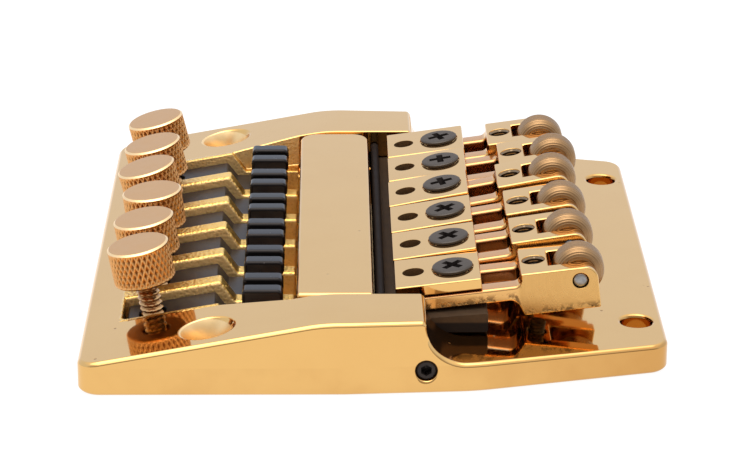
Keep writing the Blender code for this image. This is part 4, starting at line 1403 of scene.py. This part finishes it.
class BRIDGE_OT_saddles(Operator):
    """Make the six saddles with their rollers, pins and height screws"""
    bl_idname = "bridge.saddles"
    bl_label = "Saddles"

    def execute(self, context):
        size = in_mm("saddles")
        saddle, roller, pin = self.saddle(size), self.roller(size), self.pin(size)
        for number in STRINGS:
            place = carriage_place(number)
            axle = place @ shift(PIN_X, 0.0, PIN_Z)
            deliver(saddle, f"saddle_{number}", "polished_gold", place, ("saddle_gold",))
            deliver(roller, f"roller_{number}", "turned_brass", axle)
            deliver(pin, f"roller_pin_{number}", "grey_steel", axle)
            at = place @ shift(HEIGHT_HOLE_X)
            deliver(self.height_screw(number, at), f"height_screw_{number}", "black_oxide", at)
        return {"FINISHED"}

    def saddle(self, size):
        """A forked arm that swells into a block, slotted for the roller."""
        back, front = BLOCK_X
        outline = rounded([
            (ARM_START, 0.0), (back - 1.0, 0.0, 1.3), (back, BLOCK_BOTTOM, 0.5),
            (front, BLOCK_BOTTOM, 0.3), (front, size.top, size.nose), (back, size.top),
            (back, size.arm, 1.0), (ARM_START, size.arm)])
        saddle = solid("saddle", side_slab(outline, size.width))
        above = size.top + BEYOND
        below = BLOCK_BOTTOM - BEYOND
        start = ARM_START - BEYOND
        half = size.fork / 2
        fork = rounded([
            (start, -half), (FORK_END, -half, 0.5), (FORK_END, half, 0.5), (start, half)])
        carve(saddle, slab(fork, below, above))
        half_slot = size.roller_slot / 2
        slot = rectangle((ROLLER_SLOT_X, front + BEYOND), (-half_slot, half_slot))
        carve(saddle, slab(slot, below, above))
        pin_hole = rod(size.pin + PIN_GAP, -size.width, size.width)
        carve(saddle, moved(pin_hole, shift(PIN_X, 0.0, PIN_Z) @ ACROSS))

        # The height screw's hole has a sunk rim and ridges for its thread
        rim = HEIGHT_HOLE_RADIUS
        hole = [
            (0.0, above), (rim + 0.15, above), (rim + 0.15, size.top - 0.12),
            (rim - 0.1, size.top - 0.42)]
        for turn in range(8):
            z = size.top - 0.6 - turn * 0.5
            hole += [(rim, z), (rim - 0.1, z - 0.25)]
        hole += [(rim - 0.1, below), (0.0, below)]
        carve(saddle, moved(turned(hole, 40), shift(HEIGHT_HOLE_X)))

        def edge_width(middle):
            on_hole = math.hypot(middle.x - HEIGHT_HOLE_X, middle.y) < rim + 0.3
            if on_hole or math.hypot(middle.x - PIN_X, middle.z - PIN_Z) < size.pin + 0.3:
                return 0.09
            on_arm = ARM_START + 0.1 < middle.x < back - 0.2 and middle.z > size.arm / 2
            return size.arm_edge if on_arm else size.edge

        return finished(soften_unevenly(saddle, size.arm_edge, edge_width, profile=0.4))

    def roller(self, size):
        """A barrel with round shoulders, fine ridges round it and a plain bore."""
        half = size.roller_width / 2
        ridges = sleeve(
            finish("turned_brass"), Radius=size.roller, Length=size.roller_width, Depth=0.05,
            Shoulder=size.shoulder, Starts=0.0, Turns=float(size.ridges), Fade=0.2,
            Around=ROLLER_STEPS, Along=size.ridges * 6)
        moved(ridges, shift(z=-half))
        rim = size.roller - size.shoulder
        bore = size.pin + 0.25
        top = skin([(rim, half), (bore, half), (bore, 0.0)], ROLLER_STEPS)
        bottom = skin([(bore, 0.0), (bore, -half), (rim, -half)], ROLLER_STEPS)
        mesh = finished(welded("roller", ridges, top, bottom), 50.0)
        mesh.transform(ACROSS)
        return mesh

    def pin(self, size):
        """A pin with slightly domed ends."""
        low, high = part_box("roller_pin_1")
        half = (high.y - low.y) / 2 / MM
        end = [
            (0.0, half), (size.pin * 0.6, half - 0.05), (size.pin - 0.12, half - 0.14),
            (size.pin, half - 0.3)]
        profile = end + [(radius, -height) for radius, height in reversed(end)]
        return finished(solid("pin", moved(turned(profile, 40), ACROSS)))

    def height_screw(self, number, at):
        """A set screw with a hex socket, whose tip stands just clear of the flange."""
        low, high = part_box(f"height_screw_{number}")
        upright = at.col[2]
        lean = HEIGHT_SCREW_RADIUS * abs(upright.x)
        bottom = (low.z / MM + lean - at.translation.z) / upright.z
        top = (high.z / MM - lean - at.translation.z) / upright.z
        return threaded(
            "height_screw", HEIGHT_SCREW_RADIUS, *HEIGHT_THREAD, bottom, top, "black_oxide",
            hexagon(*HEIGHT_SOCKET, top))


class BRIDGE_OT_clamps(Operator):
    """Make the six clamp plates and their cross-recessed screws"""
    bl_idname = "bridge.clamps"
    bl_label = "Clamp Plates"

    def execute(self, context):
        size = in_mm("plates")
        plate = self.plate(size)
        # The walls of the plate's open hole get painted shade
        plate_finishes = ("polished_gold", "bore_brown")
        # The screws' cross recesses get painted shade
        screw_finishes = ("black_oxide", "recess_black")
        for number, turn in zip(STRINGS, CROSS_TURN):
            place = arm_place(number)
            deliver(plate, f"clamp_plate_{number}", "polished_gold", place, plate_finishes)
            at = place @ shift(CLAMP_SCREW_X)
            screw = self.screw(size, turn)
            deliver(screw, f"clamp_screw_{number}", "black_oxide", at, screw_finishes)
        return {"FINISHED"}

    def plate(self, size):
        low, high = PLATE_Z
        half = size.width / 2
        plate = solid("plate", slab(rectangle((0.0, size.length), (-half, half)), low, high))
        soften(plate, size.edge, 3, profile=OUTER_PROFILE)
        wide = size.head + HEAD_GAP
        shank = CLAMP_SHANK_RADIUS + SHANK_GAP
        recess = [
            (0.0, high + BEYOND), (wide, high + BEYOND), (wide, high - 0.3), (shank, low + 0.15),
            (shank, low - BEYOND), (0.0, low - BEYOND)]
        carve(plate, moved(turned(recess, 56), shift(CLAMP_SCREW_X)))
        spare = rod(size.hole, low - BEYOND, high + BEYOND, 56)
        carve(plate, moved(spare, shift(SPARE_HOLE_X)))
        soften(plate, 0.03, 2, 60.0)

        def in_spare_hole(middle):
            from_hole = math.hypot(middle.x - SPARE_HOLE_X, middle.y)
            return from_hole < size.hole and low + 0.1 < middle.z < high - 0.1

        return choose_second(finished(plate), in_spare_hole)

    def screw(self, size, turn):
        """A flat head over a ridged shank, with a cross recess turned by some degrees."""
        seat = PLATE_Z[1] + 0.05
        top, low, shank = size.head_top, CLAMP_SCREW_BOTTOM, CLAMP_SHANK_RADIUS
        profile = [
            (0.0, top), (size.head - 0.3, top), (size.head - 0.13, top - 0.04),
            (size.head, top - 0.15), (size.head, seat), (shank, seat - 1.0)]
        for ridge in range(CLAMP_RIDGES):
            z = seat - 1.2 - ridge * (seat - 1.4 - low) / CLAMP_RIDGES
            profile += [(shank - 0.15, z), (shank, z - 0.2)]
        profile += [(shank - 0.2, low), (0.0, low)]
        screw = solid("clamp_screw", turned(profile, 64))
        for quarter in (0.0, 90.0):
            carve(screw, self.cross_arm(size, top, turn + quarter))

        # Faces inside the cross recess take the painted shade
        def in_recess(middle):
            across = math.hypot(middle.x, middle.y)
            return across < size.cross * 0.55 and low < middle.z < top - 0.01

        return choose_second(finished(screw, 30.0), in_recess)

    def cross_arm(self, size, top, turn):
        """One bar of the cross recess, narrower at its bottom."""
        work = bmesh.new()
        bmesh.ops.create_cube(work, size=1.0)
        for vert in work.verts:
            deep = vert.co.z < 0.0
            vert.co.x *= size.cross * (0.6 if deep else 1.04)
            vert.co.y *= size.cross_arm * (0.8 if deep else 1.02)
            vert.co.z = top - 1.1 if deep else top + 0.06
        return moved(work, Matrix.Rotation(math.radians(turn), 4, "Z"))


class BRIDGE_OT_side_screws(Operator):
    """Make the two locking screws in the long sides"""
    bl_idname = "bridge.side_screws"
    bl_label = "Side Screws"

    def execute(self, context):
        end = side_screw_mouth() - SIDE_SCREW_SUNK
        for name, turn in SIDES.items():
            low, high = solid_box(f"side_lock_screw_{name}")
            start = min(abs(low.y), abs(high.y))
            screw = threaded(
                "side_screw", SIDE_SCREW_RADIUS, *SIDE_THREAD, start, end, "satin_black",
                hexagon(*SIDE_SOCKET, end))
            place = shift((low.x + high.x) / 2, 0.0, (low.z + high.z) / 2) @ turn
            deliver(screw, f"side_lock_screw_{name}", "black_oxide", place, ("satin_black",))
        return {"FINISHED"}


class BRIDGE_OT_studio(Operator):
    """Set up the camera, a pale floor and soft studio light"""
    bl_idname = "bridge.studio"
    bl_label = "Studio"

    def execute(self, context):
        studio = context.scene.bridge_studio
        self.camera(context, studio)
        self.floor(studio)
        self.world(context, studio)
        self.lamp(studio)
        context.scene.view_settings.view_transform = "Standard"
        return {"FINISHED"}

    def camera(self, context, studio):
        data = bpy.data.cameras.new("camera")
        data.lens = studio.focal
        data.sensor_width = 36.0
        data.sensor_fit = "HORIZONTAL"
        data.clip_start = 0.01
        right = Vector((math.cos(studio.yaw), -math.sin(studio.yaw), 0.0))
        level = Vector((math.sin(studio.yaw), math.cos(studio.yaw), 0.0))
        look = level * math.cos(studio.elevation) - Vector((0.0, 0.0, math.sin(studio.elevation)))
        up = right.cross(look)
        leaning_right = right * math.cos(studio.roll) + up * math.sin(studio.roll)
        leaning_up = up * math.cos(studio.roll) - right * math.sin(studio.roll)
        turn = Matrix((leaning_right, leaning_up, -look)).transposed().to_4x4()
        camera = placed("camera", data)
        camera.matrix_world = Matrix.Translation(studio.place) @ turn
        context.scene.camera = camera

    def floor(self, studio):
        """A wide floor that gives most of its own light, because the ground has no shadow."""
        work = bmesh.new()
        bmesh.ops.create_grid(work, x_segments=8, y_segments=8, size=FLOOR_HALF_WIDTH)
        mesh = stored(work, bpy.data.meshes.new("floor"))
        mesh.transform(shift(z=-FLOOR_DROP))
        glow = {"Emission Color": (*studio.floor, 1.0), "Emission Strength": 1.0}
        mesh.materials.append(surface("floor", floor_grey, {**sheen(0.0, 0.0), **glow}))
        placed("floor", mesh)

    def world(self, context, studio):
        """Pale and cool behind the bridge, brightest overhead and dark behind the camera."""
        world = bpy.data.worlds.new("studio")
        world.use_nodes = True
        context.scene.world = world
        nodes = Nodes(world.node_tree)
        _, y, z = nodes.axes(nodes.add("ShaderNodeTexCoord", {}, {}, "Generated"))
        bright = (studio.above, studio.above, studio.above)
        sky = nodes.blend(nodes.step(z, 0.45, 0.85), tuple(studio.far), bright)
        sky = nodes.blend(nodes.step(z, 0.84, 0.96), sky, tuple(2.0 * part for part in bright))
        behind = nodes.step(0.0 - y, 0.15, 0.7) * nodes.fall(z, 0.35, 0.75)
        sky = nodes.blend(behind, sky, tuple(studio.near))
        background = nodes.add("ShaderNodeBackground", {}, {"Color": sky, "Strength": 1.0})
        nodes.add("ShaderNodeOutputWorld", {}, {"Surface": background})

    def lamp(self, studio):
        data = bpy.data.lights.new("soft_light", "AREA")
        data.shape = "SQUARE"
        data.size = LAMP_WIDTH
        data.energy = studio.lamp
        turn = LAMP_PLACE.to_track_quat("Z", "Y").to_matrix().to_4x4()
        placed("soft_light", data).matrix_world = Matrix.Translation(LAMP_PLACE) @ turn


GROUPS = {
    "bridge_base": BridgeBaseSizes, "bridge_hooks": BridgeHookSizes,
    "bridge_knobs": BridgeKnobSizes, "bridge_bars": BridgeBarSizes,
    "bridge_saddles": BridgeSaddleSizes, "bridge_plates": BridgePlateSizes,
    "bridge_finishes": BridgeFinishes, "bridge_studio": BridgeStudio,
}
OPERATORS = (
    BRIDGE_OT_studio, BRIDGE_OT_base_frame, BRIDGE_OT_string_bar, BRIDGE_OT_saddle_bar,
    BRIDGE_OT_hooks, BRIDGE_OT_thumbscrews, BRIDGE_OT_saddles, BRIDGE_OT_clamps,
    BRIDGE_OT_side_screws,
)


class BRIDGE_PT_panel(Panel):
    """Sizes, finishes and makers of the bridge's pieces"""
    bl_idname = "BRIDGE_PT_panel"
    bl_label = "Fixed Guitar Bridge"
    bl_space_type = "VIEW_3D"
    bl_region_type = "UI"
    bl_category = "Bridge"

    def draw(self, context):
        for name in GROUPS:
            group = getattr(context.scene, name)
            box = self.layout.box()
            for identifier in group.bl_rna.properties.keys():
                if identifier not in ("rna_type", "name"):
                    box.prop(group, identifier)
        for operator in OPERATORS:
            self.layout.operator(operator.bl_idname)


def register():
    for group in GROUPS.values():
        bpy.utils.register_class(group)
    for name, group in GROUPS.items():
        setattr(bpy.types.Scene, name, PointerProperty(type=group))
    for item in (*OPERATORS, BRIDGE_PT_panel):
        bpy.utils.register_class(item)


def unregister():
    for item in (BRIDGE_PT_panel, *reversed(OPERATORS)):
        bpy.utils.unregister_class(item)
    for name, group in reversed(GROUPS.items()):
        delattr(bpy.types.Scene, name)
        bpy.utils.unregister_class(group)


def main():
    register()
    for operator in OPERATORS:
        category, name = operator.bl_idname.split(".")
        getattr(getattr(bpy.ops, category), name)()


if __name__ == "__main__":
    main()
